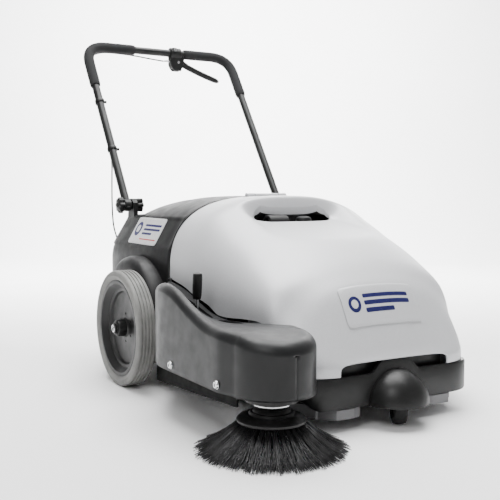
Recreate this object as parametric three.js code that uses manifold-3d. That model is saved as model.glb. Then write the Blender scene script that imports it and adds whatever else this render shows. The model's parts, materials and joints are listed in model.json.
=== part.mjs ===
// Walk-behind battery sweeper with a side broom.
// Units are millimetres, Z is up, the machine drives towards -Y and its right-hand side is -X.
// While it is drawn, X = 0 is the middle of the machine, Y = 0 the rear axle and Z = 0 the floor.

import * as THREE from 'three';
import { mergeVertices } from 'three/addons/utils/BufferGeometryUtils.js';
import Module from 'manifold-3d';

const wasm = await Module();
wasm.setup();

// ---- Driving dimensions ----
const gap = 0.4; // air left between pieces that touch
const wall = 4; // moulded shells
const wheel = { radius: 150, width: 50, centreX: 372, rimRadius: 126, axleRadius: 12 };
const housingBottom = 186;
const frameRail = { outerX: 316, thick: 5, bottom: 62, top: 112, backY: 300 };
const bumper = { frontY: -640, bottom: 50, top: 118, flatX: 162, cornerX: 72, cornerY: 40, thick: 12 };
const dome = { y: -640, z: 50, radius: 74 };
const caster = { swivelY: -652, trail: 12, radius: 40, width: 28, turned: -30.6 };
const mainBroom = { y: -230, z: 134, radius: 130, coreRadius: 35, halfLength: 245 };
const sideBroom = { x: -332.7, y: -658.5, tipRadius: 159, rootRadius: 68, rootZ: 58, discRadius: 70 };
const sideCover = { sideX: -430, bottom: 116, noseRadius: 86 };
const liftLever = { x: -340, pivotY: -336, pivotZ: 130 };
const broomArm = { pivotY: -400, pivotZ: 104 };
const handle = { x: 262, pivotY: 250, pivotZ: 463, topY: 591, topZ: 967, bend: 72, tube: 12, grip: 16 };
const hoodHinge = { y: -94, z: 494 };
const driveLever = { pivotX: 58, pivotZ: 938 };
const panel = { y: 352, z: 322, lean: THREE.MathUtils.degToRad(22.6), halfX: 92, halfZ: 46 };

// ---- Materials ----
const paint = (color, roughness, metalness = 0) =>
  new THREE.MeshStandardMaterial({ color, roughness, metalness });
const look = {
  silverPlastic: () => paint(0xc9cacc, 0.45, 0.1),
  greyPlastic: () => paint(0x6e6f71, 0.5),
  darkPlastic: () => paint(0x2c2d2f, 0.55),
  coverPlastic: () => paint(0x3d3f42, 0.5),
  blackPlastic: () => paint(0x1a1a1b, 0.5),
  blackSteel: () => paint(0x161617, 0.45, 0.4),
  chrome: () => paint(0xd8d9da, 0.2, 1),
  greyRubber: () => paint(0x8b8b89, 0.85),
  blackRubber: () => paint(0x141414, 0.9),
  foam: () => paint(0x18181a, 0.95),
  bristle: () => paint(0x0d0d0e, 0.9),
  filterPaper: () => paint(0xb9b3a2, 0.95),
  lens: () => paint(0x7fae6a, 0.2),
};

// ---- Solid helpers ----
function toSolid(geometry) {
  const bare = geometry.index ? geometry.toNonIndexed() : geometry.clone();
  for (const name of Object.keys(bare.attributes)) {
    if (name !== 'position') bare.deleteAttribute(name);
  }
  const merged = mergeVertices(bare, 1e-3);
  const points = merged.attributes.position.array;
  const corners = Array.from(merged.index.array);
  const faces = [];
  let volume = 0;
  for (let i = 0; i < corners.length; i += 3) {
    const [a, b, c] = corners.slice(i, i + 3);
    if (a === b || b === c || c === a) continue;
    faces.push([a, b, c]);
    const p = new THREE.Vector3().fromArray(points, 3 * a);
    const q = new THREE.Vector3().fromArray(points, 3 * b);
    const r = new THREE.Vector3().fromArray(points, 3 * c);
    volume += p.dot(q.cross(r));
  }
  const facing = volume < 0 ? faces.map(([a, b, c]) => [a, c, b]) : faces;
  return new wasm.Manifold(new wasm.Mesh({
    numProp: 3,
    vertProperties: Float32Array.from(points),
    triVerts: Uint32Array.from(facing.flat()),
  }));
}

function fuse(...solids) {
  return solids.reduce((whole, piece) => whole.add(piece));
}

function carve(solid, ...cuts) {
  return cuts.reduce((rest, cut) => rest.subtract(cut), solid);
}

function moved(solid, x, y, z) {
  return solid.translate([x, y, z]);
}

function extrude(points, depth, basis, holes = []) {
  const outline = points.map(([u, v]) => new THREE.Vector2(u, v));
  if (THREE.ShapeUtils.isClockWise(outline)) outline.reverse();
  const shape = new THREE.Shape(outline);
  for (const hole of holes) {
    shape.holes.push(new THREE.Path(hole.map(([u, v]) => new THREE.Vector2(u, v))));
  }
  const geometry = new THREE.ExtrudeGeometry(shape, { depth, bevelEnabled: false });
  return toSolid(geometry.applyMatrix4(basis));
}

// Points are [y, z], [x, z] and [x, y] in turn.
function alongX(points, x0, x1, holes) {
  const basis = new THREE.Matrix4().set(0, 0, 1, x0, 1, 0, 0, 0, 0, 1, 0, 0, 0, 0, 0, 1);
  return extrude(points, x1 - x0, basis, holes);
}

function alongY(points, y0, y1) {
  const basis = new THREE.Matrix4().set(0, 1, 0, 0, 0, 0, 1, y0, 1, 0, 0, 0, 0, 0, 0, 1);
  return extrude(points.map(([x, z]) => [z, x]), y1 - y0, basis);
}

function alongZ(points, z0, z1, holes) {
  return extrude(points, z1 - z0, new THREE.Matrix4().makeTranslation(0, 0, z0), holes);
}

function block(x0, x1, y0, y1, z0, z1) {
  const geometry = new THREE.BoxGeometry(x1 - x0, y1 - y0, z1 - z0);
  return toSolid(geometry.translate((x0 + x1) / 2, (y0 + y1) / 2, (z0 + z1) / 2));
}

function rod(axis, from, to, radius, sides = 16) {
  const geometry = new THREE.CylinderGeometry(radius, radius, Math.abs(to[axis] - from[axis]), sides);
  if (axis === 0) geometry.rotateZ(-Math.PI / 2);
  if (axis === 2) geometry.rotateX(Math.PI / 2);
  return toSolid(geometry.translate(...from.map((value, i) => (value + to[i]) / 2)));
}

const rodX = (x0, x1, y, z, radius, sides) => rod(0, [x0, y, z], [x1, y, z], radius, sides);
const rodZ = (x, y, z0, z1, radius, sides) => rod(2, [x, y, z0], [x, y, z1], radius, sides);

// A turned piece: [radius, station] pairs around the X axis or the Z axis.
function turnedX(profile, y, z, sides) {
  const points = profile.map(([radius, station]) => new THREE.Vector2(radius, station));
  const geometry = new THREE.LatheGeometry(points, sides);
  return toSolid(geometry.rotateZ(-Math.PI / 2).translate(0, y, z));
}

function turnedZ(profile, x, y, sides) {
  const points = profile.map(([radius, station]) => new THREE.Vector2(radius, station));
  const geometry = new THREE.LatheGeometry(points, sides);
  return toSolid(geometry.rotateX(Math.PI / 2).translate(x, y, 0));
}

function circle(cx, cy, radius, sides, start = 0, sweep = 2 * Math.PI) {
  const count = sweep === 2 * Math.PI ? sides : sides + 1;
  return Array.from({ length: count }, (_, i) => {
    const angle = start + (sweep * i) / sides;
    return [cx + radius * Math.cos(angle), cy + radius * Math.sin(angle)];
  });
}

// Straight-line reading of a short table of [station, value] pairs.
function reading(table, at) {
  const last = table.findIndex(([station]) => station >= at);
  if (last === -1) return table[table.length - 1][1];
  if (last === 0) return table[0][1];
  const [s0, v0] = table[last - 1];
  const [s1, v1] = table[last];
  return v0 + ((v1 - v0) * (at - s0)) / (s1 - s0);
}

// Skins a row of closed rings, all with the same number of [x, y, z] points, and caps both ends.
function loft(rings) {
  const count = rings[0].length;
  const positions = [];
  const triangle = (a, b, c) => positions.push(...a, ...b, ...c);
  for (let i = 0; i + 1 < rings.length; i += 1) {
    for (let j = 0; j < count; j += 1) {
      const k = (j + 1) % count;
      triangle(rings[i][j], rings[i][k], rings[i + 1][k]);
      triangle(rings[i][j], rings[i + 1][k], rings[i + 1][j]);
    }
  }
  for (const [ring, forward] of [[rings[0], false], [rings[rings.length - 1], true]]) {
    const centre = [0, 1, 2].map((axis) => ring.reduce((sum, point) => sum + point[axis], 0) / count);
    for (let j = 0; j < count; j += 1) {
      const next = ring[(j + 1) % count];
      if (forward) triangle(centre, ring[j], next);
      else triangle(centre, next, ring[j]);
    }
  }
  const geometry = new THREE.BufferGeometry();
  geometry.setAttribute('position', new THREE.Float32BufferAttribute(positions, 3));
  return toSolid(geometry);
}

// The arched section shared by the hood and the rear housing: upright sides under a soft top.
function arch(y, halfWidth, springZ, topZ, bottomZ, steps = 14) {
  const power = 2 / 2.7;
  const ring = [[halfWidth, y, bottomZ]];
  for (let i = 0; i <= steps; i += 1) {
    const angle = (Math.PI * i) / steps;
    const c = Math.cos(angle);
    const x = Math.sign(c) * halfWidth * Math.abs(c) ** power;
    ring.push([x, y, springZ + (topZ - springZ) * Math.sin(angle) ** power]);
  }
  ring.push([-halfWidth, y, bottomZ]);
  return ring;
}

// A round bar of the given radius along a path of [x, y, z] points, optionally hollow.
function barAlong(path, radius, sides, steps, boreRadius = 0) {
  const ring = (r) => circle(0, 0, r, sides).map(([u, v]) => new THREE.Vector2(u, v));
  const section = new THREE.Shape(ring(radius));
  if (boreRadius) section.holes.push(new THREE.Path(ring(boreRadius)));
  return toSolid(new THREE.ExtrudeGeometry(section, { steps, bevelEnabled: false, extrudePath: path }));
}

const machine = new THREE.Group();

function add(name, solid, material) {
  const { vertProperties, triVerts } = solid.getMesh();
  const geometry = new THREE.BufferGeometry();
  geometry.setAttribute('position', new THREE.Float32BufferAttribute(vertProperties, 3));
  geometry.setIndex(Array.from(triVerts));
  const mesh = new THREE.Mesh(geometry, material);
  mesh.name = name;
  machine.add(mesh);
}

const sides = [['left', 1], ['right', -1]];

// ---- Frame ----
function mainFrame() {
  const { outerX, thick, bottom, top, backY } = frameRail;
  const outline = (inset) => [
    [outerX - inset, backY - inset], [outerX - inset, -498], [196 - inset / 2, -617 + inset],
    [-196 + inset / 2, -617 + inset], [-outerX + inset, -498], [-outerX + inset, backY - inset],
  ];
  let frame = alongZ(outline(0), bottom, top, [outline(thick)]);
  const pan = block(-outerX + 1, outerX - 1, -80, backY - 1, bottom, bottom + 4);
  const bulkhead = block(-outerX + 1, outerX - 1, -84, -79, bottom, housingBottom - 6);
  const casterPlate = block(-28, 28, -678, -614, 100, 106);
  frame = fuse(frame, pan, bulkhead, casterPlate);
  for (const [, side] of sides) {
    const x0 = Math.min(side * outerX, side * (outerX - thick));
    const web = [[-60, 100], [60, 100], [60, 160], [30, 180], [-30, 180], [-60, 160]];
    const bracket = alongX(web, x0, x0 + thick);
    const bearing = block(-10, 10.5, -256, -204, 80, 156);
    frame = fuse(frame, bracket, moved(bearing, side * 301, 0, 0));
    frame = carve(frame, rodX(x0 - 20, x0 + 20, 0, wheel.radius, wheel.axleRadius + gap));
    frame = carve(frame, rodX(side * 301 - 20, side * 301 + 20, mainBroom.y, mainBroom.z, 10 + gap));
  }
  return carve(frame, rodZ(0, caster.swivelY, 40, 96, 68, 24));
}

add('main_frame', mainFrame(), look.blackSteel());

// ---- Rear housing ----
const housingTop = [
  [-92, 492], [60, 490], [150, 484], [220, 470], [285, 445], [330, 410], [362, 350], [386, 250],
];
const housingWidth = [
  [-92, 288], [60, 297], [220, 297], [300, 288], [345, 270], [372, 250], [386, 235],
];

function housingBlank(inset) {
  const stations = [-92, 60, 150, 220, 285, 330, 362, 386];
  const rings = stations.map((y) => {
    const top = reading(housingTop, y) - inset;
    const width = reading(housingWidth, y) - inset;
    return arch(y - (y > 300 ? inset : 0), width, Math.min(300, top - 40), top, housingBottom - inset);
  });
  return loft(rings);
}

function wheelArch(inset, side) {
  const upper = circle(66, 165, 165 - inset, 20, 0, Math.PI).map(([y, z]) => [Math.max(y, -92 + inset), z]);
  const x0 = side * (inset ? 250 : 286);
  const x1 = side * (344 - inset);
  return alongX(upper, Math.min(x0, x1), Math.max(x0, x1));
}

function panelBlock(halfX, halfZ, from, to) {
  const up = [-Math.sin(panel.lean), Math.cos(panel.lean)];
  const out = [Math.cos(panel.lean), Math.sin(panel.lean)];
  const corner = (u, n) => [panel.y + u * up[0] + n * out[0], panel.z + u * up[1] + n * out[1]];
  const side = [corner(-halfZ, from), corner(-halfZ, to), corner(halfZ, to), corner(halfZ, from)];
  return alongX(side, -halfX, halfX);
}

function rearHousing() {
  const tray = alongZ([[-122, 262], [122, 262], [150, 96], [-150, 96]], 474, 520);
  const cup = rodZ(-62, 150, 420, 520, 38, 28);
  const trayShell = alongZ([[-127, 267], [127, 267], [155, 91], [-155, 91]], 470, 520);
  const cupShell = rodZ(-62, 150, 416, 520, 42, 28);
  const recess = panelBlock(panel.halfX + 6, panel.halfZ + 6, -1, 60);
  const recessShell = panelBlock(panel.halfX + 10, panel.halfZ + 10, -5, 60);
  let outer = fuse(housingBlank(0), wheelArch(0, 1), wheelArch(0, -1));
  let inner = fuse(housingBlank(wall), wheelArch(wall, 1), wheelArch(wall, -1));
  outer = carve(outer, tray, cup, recess);
  inner = carve(inner, trayShell, cupShell, recessShell);
  const open = block(-320, 320, -60, 360, housingBottom - 20, housingBottom + 6);
  const front = block(-275, 275, -110, -80, housingBottom - 20, 430);
  const hingeNotch = block(-66, 66, -100, -84, 484, 510);
  const below = block(-360, 360, -200, 500, 100, housingBottom);
  return carve(outer, inner, open, front, hingeNotch, below);
}

add('rear_housing', rearHousing(), look.darkPlastic());
add('rear_skirt', block(-296, 296, 304, 308, 44, housingBottom - 2), look.blackPlastic());

// ---- Controls on the back ----
function controls() {
  const facing = new THREE.Vector3(0, Math.cos(panel.lean), Math.sin(panel.lean));
  const onPanel = (x, up, out) => [
    x,
    panel.y - up * Math.sin(panel.lean) + out * Math.cos(panel.lean),
    panel.z + up * Math.cos(panel.lean) + out * Math.sin(panel.lean),
  ];
  const pin = (x, up, from, to, radius, count) => {
    const geometry = new THREE.CylinderGeometry(radius, radius, to - from, count);
    geometry.applyQuaternion(new THREE.Quaternion().setFromUnitVectors(new THREE.Vector3(0, 1, 0), facing));
    return toSolid(geometry.translate(...onPanel(x, up, (from + to) / 2)));
  };
  let plate = panelBlock(panel.halfX, panel.halfZ, -0.6, 4);
  plate = carve(plate, pin(-52, 0, 1, 10, 13 + gap, 24), pin(48, 0, 1, 10, 12 + gap, 24));
  add('control_panel', plate, look.blackPlastic());
  const keyBarrel = pin(-52, 0, 1 + gap, 9, 13, 24);
  const keyBlade = panelBlock(2, 16, 8.9, 30);
  add('key', fuse(keyBarrel, moved(keyBlade, -52, 0, 0)), look.chrome());
  add('shaker_button', pin(48, 0, 1 + 4, 11, 12, 24), look.blackRubber());
  add('battery_gauge', panelBlock(20, 9, 4 + gap, 6), look.lens());
}

controls();

// ---- Power and traction ----
add('battery', block(-245, 245, 72, 245, 66 + gap, 282), look.blackPlastic());

function transaxle() {
  const casing = rodX(-78, 78, 0, wheel.radius, 44, 28);
  const foot = block(-55, 55, -36, 36, 66 + gap, 130);
  const motor = rodX(-95, 95, 0, 242, 42, 28);
  const saddle = block(-40, 40, -30, 30, 170, 230);
  return carve(fuse(casing, foot, motor, saddle), rodX(-100, 100, 0, wheel.radius, wheel.axleRadius + gap));
}

add('transaxle', transaxle(), look.blackSteel());
add('rear_axle', rodX(-404, 404, 0, wheel.radius, wheel.axleRadius, 24), look.chrome());

// ---- Rear wheels ----
function tyre() {
  const half = wheel.width / 2;
  const shoulder = [[wheel.rimRadius, -half + 2], [138, -half], [146, -half + 3], [wheel.radius, -half + 8]];
  const back = shoulder.map(([radius, x]) => [radius, -x]).reverse();
  return [...shoulder, ...back, shoulder[0]];
}

function rim() {
  const bore = wheel.axleRadius + gap;
  const lip = wheel.rimRadius - 1;
  const front = [[bore, 25], [27, 25], [27, 0], [90, -4], [96, 3], [106, 3], [114, 21], [lip, 21]];
  const back = [[lip, -21], [112, -21], [104, -10], [27, -10], [24, -22], [bore, -22], [bore, 25]];
  return [...front, ...back];
}

for (const [name, side] of sides) {
  const place = (profile) => profile.map(([radius, x]) => [radius, side * (wheel.centreX + x)]);
  const hub = side * (wheel.centreX + 25 + gap);
  add(`tyre_${name}`, turnedX(place(tyre()), 0, wheel.radius, 36), look.greyRubber());
  add(`rim_${name}`, turnedX(place(rim()), 0, wheel.radius, 26), look.blackPlastic());
  const nut = turnedX([[12 + gap, hub], [19, hub], [19, hub + side * 5], [15, hub + side * 9],
    [12 + gap, hub + side * 9], [12 + gap, hub]], 0, wheel.radius, 18);
  add(`hub_nut_${name}`, nut, look.chrome());
}

// ---- Main broom ----
function broomTunnel() {
  const ring = (radius) => circle(mainBroom.y, mainBroom.z, radius, 24, -0.35, Math.PI + 0.1);
  const section = [...ring(144), ...ring(140).reverse()];
  return alongX(section, -262, 262);
}

const shaft = rodX(-310, 310, mainBroom.y, mainBroom.z, 10, 20);
const coreEnd = mainBroom.halfLength + 3;
const core = rodX(-coreEnd, coreEnd, mainBroom.y, mainBroom.z, mainBroom.coreRadius, 24);
add('main_broom_core', fuse(shaft, core), look.blackPlastic());
add('main_broom_bristles', turnedX([
  [mainBroom.coreRadius + gap, -mainBroom.halfLength], [mainBroom.radius, -mainBroom.halfLength],
  [mainBroom.radius, mainBroom.halfLength], [mainBroom.coreRadius + gap, mainBroom.halfLength],
  [mainBroom.coreRadius + gap, -mainBroom.halfLength],
], mainBroom.y, mainBroom.z, 32), look.bristle());
add('broom_tunnel', broomTunnel(), look.blackSteel());

function broomDrive() {
  const motor = rodX(60, 267, -140, 300, 42, 24);
  const guard = alongX([
    ...circle(-140, 300, 34, 10, 0, Math.PI), ...circle(mainBroom.y, mainBroom.z, 48, 12, Math.PI, Math.PI),
  ], 265, 277);
  return carve(fuse(motor, guard), rodX(250, 300, mainBroom.y, mainBroom.z, 10 + gap));
}

add('broom_drive', broomDrive(), look.blackSteel());

// ---- Dust filter, with the handle seen through the opening in the hood ----
const filterTop = 336;
add('dust_filter', block(-190, 190, -425, -205, 290, filterTop), look.filterPaper());

function filterHandle() {
  const middleY = -232;
  const strap = (radius) => circle(middleY, 424, radius, 16, 0, Math.PI);
  const bow = alongX([...strap(22), ...strap(15).reverse()], -82, -26);
  const legs = [-18.5, 18.5].map((y) => (
    block(-82, -26, middleY + y - 3.5, middleY + y + 3.5, filterTop + gap, 425)
  ));
  const foot = block(-82, -26, middleY - 30, middleY + 30, filterTop + gap, 342);
  return fuse(bow, ...legs, foot);
}

add('filter_handle', filterHandle(), look.darkPlastic());
const knob = [
  [0, filterTop + gap], [14, filterTop + gap], [14, 348], [9, 348], [9, 418], [19, 422], [20, 432], [15, 440],
  [0, 442],
];
add('filter_knob', turnedZ(knob, 30, -232, 24), look.blackPlastic());

// ---- Hopper ----
function hopper() {
  const outline = (inset) => [
    [226 - inset, -384 + inset], [226 - inset, -556], [190 - inset, -606 + inset], [92 + inset, -606 + inset],
    [92 + inset, -556 + inset], [-92 - inset, -556 + inset], [-92 - inset, -606 + inset],
    [-190 + inset, -606 + inset], [-226 + inset, -556], [-226 + inset, -384 + inset],
  ];
  const shell = carve(alongZ(outline(0), 27, 232), alongZ(outline(wall), 31, 260));
  const mouth = block(-212, 212, -392, -370, 70, 218);
  const slope = alongX([[-620, 148], [-500, 232.5], [-500, 300], [-620, 300]], -300, 300);
  const lip = (side) => alongZ([
    [side * 92, -600], [side * 92, -630], [side * 112, -637], [side * 158, -637], [side * 184, -606],
    [side * 184, -600],
  ], 27, 48);
  const bridge = block(-225, 225, -500, -484, 222, 232);
  const grip = carve(block(-70, 70, -497, -487, 230, 268), block(-56, 56, -500, -480, 236, 256));
  return fuse(carve(shell, mouth, slope), lip(1), lip(-1), bridge, grip);
}

add('hopper', hopper(), look.greyPlastic());
add('notch_panel', block(-150, 150, -616, -612, frameRail.top + gap, 152), look.blackPlastic());

// ---- Bumper and its caster ----
function bumperBand() {
  const { frontY, bottom, top, flatX, cornerX, cornerY, thick } = bumper;
  const rim = (inset) => {
    const corner = (side, start) => Array.from({ length: 9 }, (_, i) => {
      const angle = start + (Math.PI / 2) * (i / 8);
      return [
        side * flatX + (cornerX - inset) * Math.cos(angle),
        frontY + cornerY + (cornerY - inset) * Math.sin(angle),
      ];
    });
    return [...corner(-1, Math.PI), ...corner(1, 1.5 * Math.PI)];
  };
  const band = alongZ([...rim(0), ...rim(thick).reverse()], bottom, top);
  const tab = alongY([
    [-65, top - 2], [-50, top + 8], [-32, top + 25], [32, top + 25], [50, top + 8], [65, top - 2],
  ], frontY, frontY + 8);
  const bosses = [-120, 120].map((x) => block(x - 14, x + 14, frontY + 6, -617 - gap, 70, 104));
  const opening = toSolid(new THREE.SphereGeometry(dome.radius + gap, 20, 12).translate(0, dome.y, dome.z));
  const clearOfBroom = alongY([[-260, 40], [-260, 74], [-226, 74], [-192, 40]], frontY - 20, frontY + 60);
  return carve(fuse(band, tab, ...bosses), opening, clearOfBroom);
}

function casterDome() {
  const ball = (radius) => toSolid(new THREE.SphereGeometry(radius, 20, 12).translate(0, dome.y, dome.z));
  const keep = block(-100, 100, -760, dome.y + 10, dome.z - 2, 200);
  const platePocket = block(-29, 29, -680, -600, 99, 107);
  return carve(ball(dome.radius).intersect(keep), ball(dome.radius - wall), platePocket);
}

add('front_bumper', bumperBand(), look.blackPlastic());
add('caster_dome', casterDome(), look.blackPlastic());

// The caster is drawn rolling along Y and then turned about its swivel.
function swivelled(solid) {
  const onSwivel = moved(solid, 0, -caster.swivelY, 0).rotate([0, 0, caster.turned]);
  return moved(onSwivel, 0, caster.swivelY, 0);
}

function casterFork() {
  const wheelY = caster.swivelY + caster.trail;
  const cheekX = caster.width / 2 + 2.5;
  const stem = rodZ(0, caster.swivelY, 84, 100 - gap, 18, 20);
  const crown = block(-cheekX - 4, cheekX + 4, caster.swivelY - 14, wheelY + 8, 82.5, 88);
  const cheek = (side) => alongX([
    [caster.swivelY - 12, 86], [wheelY + 8, 86], [wheelY + 9, caster.radius - 6], [wheelY + 4, 28],
    [wheelY - 4, 28], [wheelY - 9, caster.radius - 6],
  ], Math.min(side * cheekX, side * (cheekX + 3.5)), Math.max(side * cheekX, side * (cheekX + 3.5)));
  const bore = rodX(-30, 30, wheelY, caster.radius, 4 + gap, 16);
  return carve(fuse(stem, crown, cheek(1), cheek(-1)), bore);
}

function casterWheel() {
  const half = caster.width / 2;
  const profile = [[4 + gap, -half], [36, -half], [caster.radius, -half + 5], [caster.radius, half - 5],
    [36, half], [4 + gap, half], [4 + gap, -half]];
  return turnedX(profile, caster.swivelY + caster.trail, caster.radius, 28);
}

const casterAxle = rodX(-22, 22, caster.swivelY + caster.trail, caster.radius, 4, 16);
add('caster_fork', swivelled(casterFork()), look.blackSteel());
add('caster_wheel', swivelled(casterWheel()), look.blackRubber());
add('caster_axle', swivelled(casterAxle), look.chrome());

// ---- Hood ----
const hoodTop = [[-640, 140], [-630, 156], [-615, 186], [-595, 226], [-566, 287], [-488, 352], [-413, 396],
  [-334, 432], [-260, 466], [-213, 488], [-96, 492]];
const hoodWidth = [[-640, 160], [-630, 194], [-615, 214], [-595, 230], [-566, 243], [-488, 266], [-400, 280],
  [-300, 286], [-213, 288], [-96, 288]];
const hoodSpring = [[-640, 118], [-566, 128], [-334, 190], [-96, 300]];
const hoodFrontZ = 119;

function hoodBlank(inset) {
  const stations = [
    -640, -630, -615, -595, -566, -530, -488, -450, -413, -370, -334, -290, -250, -213, -150, -96,
  ];
  const rings = stations.map((y) => arch(
    y + inset, reading(hoodWidth, y) - inset, reading(hoodSpring, y), reading(hoodTop, y) - inset, 100,
  ));
  if (inset > 0) rings.push(rings[rings.length - 1].map(([x, y, z]) => [x, y + 20, z]));
  return loft(rings);
}

// A shallow scoop in front of the crest leads to the grip hole.
function hoodScoop(inset) {
  const slope = alongX([
    [-440, 390 - inset], [-214 + inset / 2, 438 - inset], [-192 + inset, 492 - inset], [-192 + inset, 560],
    [-440, 560],
  ], -220, 220);
  const plan = [[-205, -440], [205, -440], [205, -262], [135, -190], [-135, -190], [-205, -262]];
  return slope.intersect(alongZ(plan.map(([x, y]) => [x + Math.sign(x) * inset, y + inset]), 300, 600));
}

function hoodShell() {
  const below = alongX([
    [-700, 0], [-700, hoodFrontZ], [-572, hoodFrontZ], [-520, 226], [-350, 224], [-300, 238], [-178, 271],
    [0, 300], [0, 0],
  ], -400, 400);
  const notch = alongY([
    [-149, 100], [-149, hoodFrontZ], [-131, 146], [131, 146], [149, hoodFrontZ], [149, 100],
  ], -700, -600);
  const gripHole = alongZ([[-117, -206], [117, -206], [95, -258], [-95, -258]], 380, 520);
  const hingeNotch = block(-66, 66, -106, -90, 480, 510);
  const outer = carve(hoodBlank(0), hoodScoop(0));
  const inner = carve(hoodBlank(wall), hoodScoop(wall));
  return carve(outer, inner, below, notch, gripHole, hingeNotch);
}

add('hood', hoodShell(), look.silverPlastic());

function hoodHingeLeaf() {
  const { y, z } = hoodHinge;
  const barrels = [-50, 50].map((x) => rodX(x - 12, x + 12, y, z, 6.5, 20));
  const arms = [-50, 50].map((x) => block(x - 12, x + 12, y - 9, y, z - 12, z - 2));
  const plate = block(-62, 62, y - 60, y - 4, z - 14.5, z - 11);
  return carve(fuse(...barrels, ...arms, plate), rodX(-80, 80, y, z, 3 + gap, 16));
}

function hingeBracket() {
  const { y, z } = hoodHinge;
  const barrel = rodX(-36, 36, y, z, 6, 20);
  const pin = rodX(-64, 64, y, z, 3, 16);
  const arm = block(-36, 36, y, y + 9, z - 16, z);
  const plate = block(-60, 60, y + 5, y + 60, z - 18, z - 13);
  return fuse(barrel, pin, arm, plate);
}

add('hood_hinge', hoodHingeLeaf(), look.blackSteel());
add('hinge_bracket', hingeBracket(), look.blackSteel());

// ---- Side broom, its arm and its cover ----
// Height of the cover's top along each X, read at the Y stations.
const coverStations = [-745, -650, -560, -480, -400, -330, -200, -100];
const coverTops = [
  [-431, [224, 238, 243, 266, 296, 304, 294, 285]],
  [-385, [226, 239, 239, 242, 256, 276, 288, 284]],
  [-340, [226, 238, 235, 229, 227, 238, 272, 283]],
  [-240, [225, 236, 229, 222, 219, 226, 262, 281]],
];

function coverBlank(inset) {
  const rings = coverTops.map(([x, top]) => [
    [x, -745, 60], ...top.map((z, i) => [x, coverStations[i], z - inset]), [x, -100, 60],
  ]);
  const { x, y } = sideBroom;
  const { sideX, noseRadius } = sideCover;
  const nose = circle(x, y, noseRadius - inset, 16, Math.PI * 0.98, Math.PI * 0.98);
  const plan = [
    [sideX + inset, -352], [sideX + inset, y + 20], ...nose,
    [-249, -600], [-266, -556], [-291.5, -470], [-291.5, -104 - inset], [-302, -104 - inset],
    [-372 + inset / 2, -212 - inset], [-412 + inset, -290],
  ];
  return loft(rings).intersect(alongZ(plan, sideCover.bottom - (inset ? 30 : 0), 400));
}

function sideBroomCover() {
  const open = block(-308, -200, -560, -90, 100, 216);
  const slot = alongZ([[-326, -396], [-354, -396], [-354, -262], [-326, -262]], 150, 330);
  return carve(coverBlank(0), coverBlank(wall), open, slot, block(-320, -200, -640, -90, 60, 200));
}

add('side_broom_cover', sideBroomCover(), look.coverPlastic());
for (const [name, y] of [['rear', -403], ['front', -613]]) {
  const x = sideCover.sideX - gap;
  const head = turnedX([[0, x], [9, x], [9, x - 2.5], [6, x - 6], [0, x - 6.5]], y, 132, 20);
  add(`cover_bolt_${name}`, head, look.chrome());
}

function broomBracket() {
  const plate = alongX([[-425, 66], [-318, 66], [-318, 148], [-352, 148], [-425, 118]], -322, -316 - gap);
  const leverPin = rodX(-354, -320, liftLever.pivotY, liftLever.pivotZ, 6, 16);
  const armPin = rodX(-360, -320, broomArm.pivotY, broomArm.pivotZ, 6, 16);
  return fuse(plate, leverPin, armPin);
}

function broomArmBar() {
  const { pivotY, pivotZ } = broomArm;
  const boss = rodX(-350, -323, pivotY, pivotZ, 13, 20);
  const bar = block(-350, -323, -610, pivotY, 100, 108);
  const plate = rodZ(sideBroom.x, sideBroom.y, 100, 108, 54, 28);
  const pinHole = rodX(-370, -310, pivotY, pivotZ, 6 + gap, 16);
  const shaftHole = rodZ(sideBroom.x, sideBroom.y, 90, 120, 14, 24);
  return carve(fuse(boss, bar, plate), pinHole, shaftHole);
}

add('side_broom_bracket', broomBracket(), look.blackSteel());
add('side_broom_arm', broomArmBar(), look.blackSteel());
add('side_broom_motor', fuse(
  rodZ(sideBroom.x, sideBroom.y, 108 + gap, 138, 46, 28), rodZ(sideBroom.x, sideBroom.y, 136, 176, 36, 28),
), look.blackSteel());

function broomDisc() {
  const profile = [[0, sideBroom.rootZ + gap], [sideBroom.discRadius, sideBroom.rootZ + gap],
    [sideBroom.discRadius, 66], [38, 78], [38, 90], [13, 92], [13, 108 - gap], [0, 108 - gap]];
  return turnedZ(profile, sideBroom.x, sideBroom.y, 24);
}

function broomBristles() {
  const { rootRadius, tipRadius, rootZ, x, y } = sideBroom;
  const profile = [
    [44, rootZ], [rootRadius, rootZ], [92, 40], [130, 16], [tipRadius, 0.5], [tipRadius - 14, 0], [96, 20],
    [66, 38], [44, rootZ],
  ];
  return turnedZ(profile, x, y, 24);
}

add('side_broom_disc', broomDisc(), look.blackPlastic());
add('side_broom_bristles', broomBristles(), look.bristle());

// ---- Lift lever ----
function straightBar(from, to, radius, count) {
  const path = new THREE.LineCurve3(new THREE.Vector3(...from), new THREE.Vector3(...to));
  return barAlong(path, radius, count, 1);
}

function leverRod() {
  const { x, pivotY, pivotZ } = liftLever;
  const boss = rodX(x - 8, x + 8, pivotY, pivotZ, 12, 20);
  const bar = straightBar([x, pivotY, pivotZ + 6], [x, -350, 264 - gap], 4, 12);
  return carve(fuse(boss, bar), rodX(x - 20, x + 20, pivotY, pivotZ, 6 + gap, 16));
}

add('lift_lever_rod', leverRod(), look.chrome());
const leverGrip = straightBar([liftLever.x, -350, 264], [liftLever.x, -354, 323], 11, 20);
add('lift_lever_grip', leverGrip, look.blackPlastic());

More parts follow.
